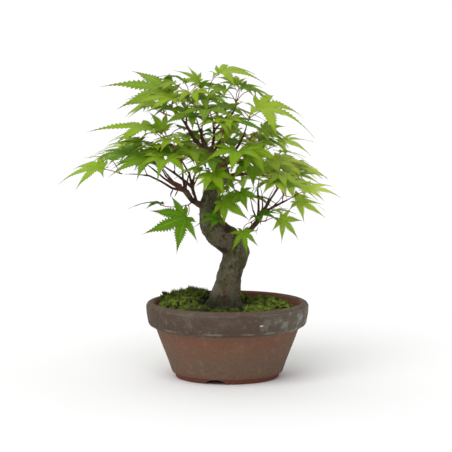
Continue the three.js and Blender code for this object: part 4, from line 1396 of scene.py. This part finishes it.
# %% [markdown]
# A blade is a sheet, and a real one has two sides, so it is thickened: its faces are extruded
# and the new ones moved a fifth of a millimetre down. Then it is turned to the direction that
# the frame's star gave. Its tone follows its place: leaves at the back of the crown and on the
# right are in full light and paler, and those low down and deep inside are darker.

# %% Place a blade
BLADE_THICK = 0.00022
CROWN_MIDDLE = pot_axis + Vector((0, 0, 0.205))
INNER_LEAVES = 0.085
SHADED_BELOW = 0.21


def thicken(bm, thick):
    """Gives a sheet a second side, a little way below each point."""
    bm.normal_update()
    below = bm.verts.layers.float_vector.new("below")
    for v in bm.verts:
        v[below] = v.co - v.normal * thick
    made = bmesh.ops.extrude_face_region(bm, geom=bm.faces[:], use_keep_orig=True)
    for item in made["geom"]:
        if isinstance(item, bmesh.types.BMVert):
            item.co = item[below]
    bm.verts.layers.float_vector.remove(below)
    bmesh.ops.recalc_face_normals(bm, faces=bm.faces)


def place_blade(bm, place, rng):
    """Adds one leaf blade at a place found in the frame."""
    origin, out, up, length = place
    broad = 1 - smooth((origin - CROWN_MIDDLE).length / INNER_LEAVES)
    blade = leaf_blade(length, rng, broad)
    layers = {name: blade.verts.layers.float.new(name) for name in ("tone", "rust", "pale")}
    depth = (origin.y - pot_axis.y) / 0.1
    right = max(0.0, origin.x - pot_axis.x - 0.02) / 0.06
    tone = clamped(0.5 - 0.3 * depth - 0.3 * right + rng.uniform(-0.35, 0.35))
    shade = smooth((SHADED_BELOW - origin.z) / 0.05)
    tone = min(1.0, tone + 0.12 * broad + 0.28 * shade * (1 - right))
    pale = 0.17 + 0.4 * depth + 1.0 * right - 0.15 * broad - 0.2 * shade + rng.uniform(-0.15, 0.15)
    for v in blade.verts:
        v[layers["tone"]], v[layers["pale"]] = tone, clamped(pale)
        v[layers["rust"]] = rng.uniform(0.3, 1.0)
    thicken(blade, BLADE_THICK)
    turn = Matrix((out, up.cross(out), up)).transposed().to_4x4()
    blade.transform(Matrix.Translation(origin) @ turn)
    mesh = bpy.data.meshes.new("blade")
    blade.to_mesh(mesh)
    blade.free()
    bm.from_mesh(mesh)
    bpy.data.meshes.remove(mesh)


bm = bmesh.new()
first_leaves = next(iter(shoots.values()))[0]
place_blade(bm, first_leaves[0], random.Random(1))
print("one blade in place has", len(bm.faces), "faces")
bm.free()

# %% [markdown]
# A shoot is its short stem, the curved stalks that part at the knob, and a blade at the end of
# each stalk. They grew as one, so they are one piece, with one material slot for the blades and
# one for the stalks. Each shoot has its own seed, so no two leaves are alike and every run
# gives the same tree.

# %% Build the leafy shoots
STALK_SLOT = 1
STEM_RADII = [0.0007, 0.0006, 0.0008]
STALK_RADII = [0.00055, 0.00045] + [0.0004] * 6 + [0.00055]
OVERLAP = 0.0004


def shoot_stalks(bm, leaves, root, fork, heading):
    """The stem from the twig to the knob, and a stalk from there to each blade."""
    ends = heading * OVERLAP
    tube_along(bm, [root - ends, root.lerp(fork, 0.5), fork + ends], STEM_RADII)
    for origin, out, up, _ in leaves:
        span = (fork - origin).length
        bend = origin - out * 0.3 * span - up * 0.16 * span
        route = bezier(fork, bend, origin + out * 0.0012 - up * 0.0002, len(STALK_RADII))
        tube_along(bm, route, STALK_RADII)


for index, (name, (leaves, (root, fork, heading))) in enumerate(shoots.items()):
    rng = random.Random(100 + index)
    bm = bmesh.new()
    for place in leaves:
        place_blade(bm, place, rng)
    blade_faces = len(bm.faces)
    shoot_stalks(bm, leaves, root, fork, heading)
    for number, face in enumerate(bm.faces):
        face.material_index = STALK_SLOT if number >= blade_faces else 0
    piece = finish_piece(f"{name}_grown", bm, LEAF, [name])
    piece.data.materials.append(STALK)
print("shoots", len(shoots), "faces in the last", len(piece.data.polygons))

# %% [markdown]
# A few withered leaf ends still hang from the twigs, as on any real tree. Each is a thin curl
# that widens into a dry, rolled blade. It starts on the nearest point of the wood, so it never
# floats.

# %% Withered ends
WITHERED = (
    ((-0.0518, -0.004, 0.184), 0.006, 0.0008),
    ((-0.0478, -0.004, 0.184), 0.0055, 0.0007),
    ((0.003, -0.01, 0.287), 0.009, 0.0011),
    ((0.0295, -0.004, 0.146), 0.006, 0.0004),
)
CURL = [0.25, 0.25, 0.3, 0.5, 1.0, 0.8, 0.2]


def withered_curl(bm, start, drop, width, rng):
    """A thin curl from a point of the wood, that swells and ends in a point."""
    over = start + Vector((drop * 0.5, 0, drop * 0.2))
    route = bezier(start, over, start + Vector((-drop * 0.2, 0, -drop)), len(CURL) - 1)
    tail = route[-1] + Vector((rng.uniform(-0.3, 0.3), rng.uniform(-0.2, 0.2), -0.45)) * drop
    tube_along(bm, route + [tail], [width * r for r in CURL], sides=5)


def withered_finish():
    """Dry brown with some green left in it."""
    dry = Finish("withered", 0.8, 0.2)
    dry.colour(dry.mix(dry.blotches(260, 0.5, 0.2), rgb(66, 54, 40), rgb(74, 80, 44)))
    dry.bump([(dry.placed(GRAIN, None, Scale=1500.0), 1.0)], 0.0003)
    return dry.material


rng = random.Random(9)
bm = bmesh.new()
for place, drop, width in WITHERED:
    anchor = wood_tree.find_nearest(pot_axis + Vector(place))[0]
    print("withered end hangs from", [round(c / MM, 1) for c in anchor], "mm")
    withered_curl(bm, anchor, drop, width, rng)
finish_piece("withered_ends", bm, withered_finish())

# %% [markdown]
# The studio is a plain pale floor that runs far back, so it fills the whole view. Two large soft
# suns and a white sky light it evenly: the first comes from above and in front, the second is
# weaker and comes from behind, so that light shines through the upper leaves.

# %% Floor and light
FLOOR_HALF = 60
SKY_STRENGTH = 0.6


def soft_sun(name, strength, spread, tilt, turn):
    """A sun with soft shadows. Tilt leans it back and turn swings it round."""
    data = bpy.data.lights.new(name, "SUN")
    data.energy, data.angle = strength, math.radians(spread)
    light = bpy.data.objects.new(name, data)
    light.rotation_euler = (math.radians(tilt), 0, math.radians(turn))
    bpy.context.scene.collection.objects.link(light)


bm = bmesh.new()
bmesh.ops.create_grid(bm, x_segments=1, y_segments=1, size=FLOOR_HALF)
mesh = bpy.data.meshes.new("floor")
bm.to_mesh(mesh)
bm.free()
floor = bpy.data.objects.new("floor", mesh)
bpy.context.scene.collection.objects.link(floor)
paper = Finish("paper", 0.9, 0.1)
paper.colour(paper.mix(paper.blotches(3, 0.5, 0.4), rgb(250, 250, 250), rgb(248, 248, 248)))
mesh.materials.append(paper.material)

soft_sun("key", 1.5, 50, 38, -25)
soft_sun("back", 0.5, 60, -40, 20)
world = bpy.data.worlds.new("studio")
world.use_nodes = True
world.node_tree.nodes["Background"].inputs["Color"].default_value = (1, 1, 1, 1)
world.node_tree.nodes["Background"].inputs["Strength"].default_value = SKY_STRENGTH
bpy.context.scene.world = world
bpy.context.scene.view_settings.view_transform = "Standard"

# %% [markdown]
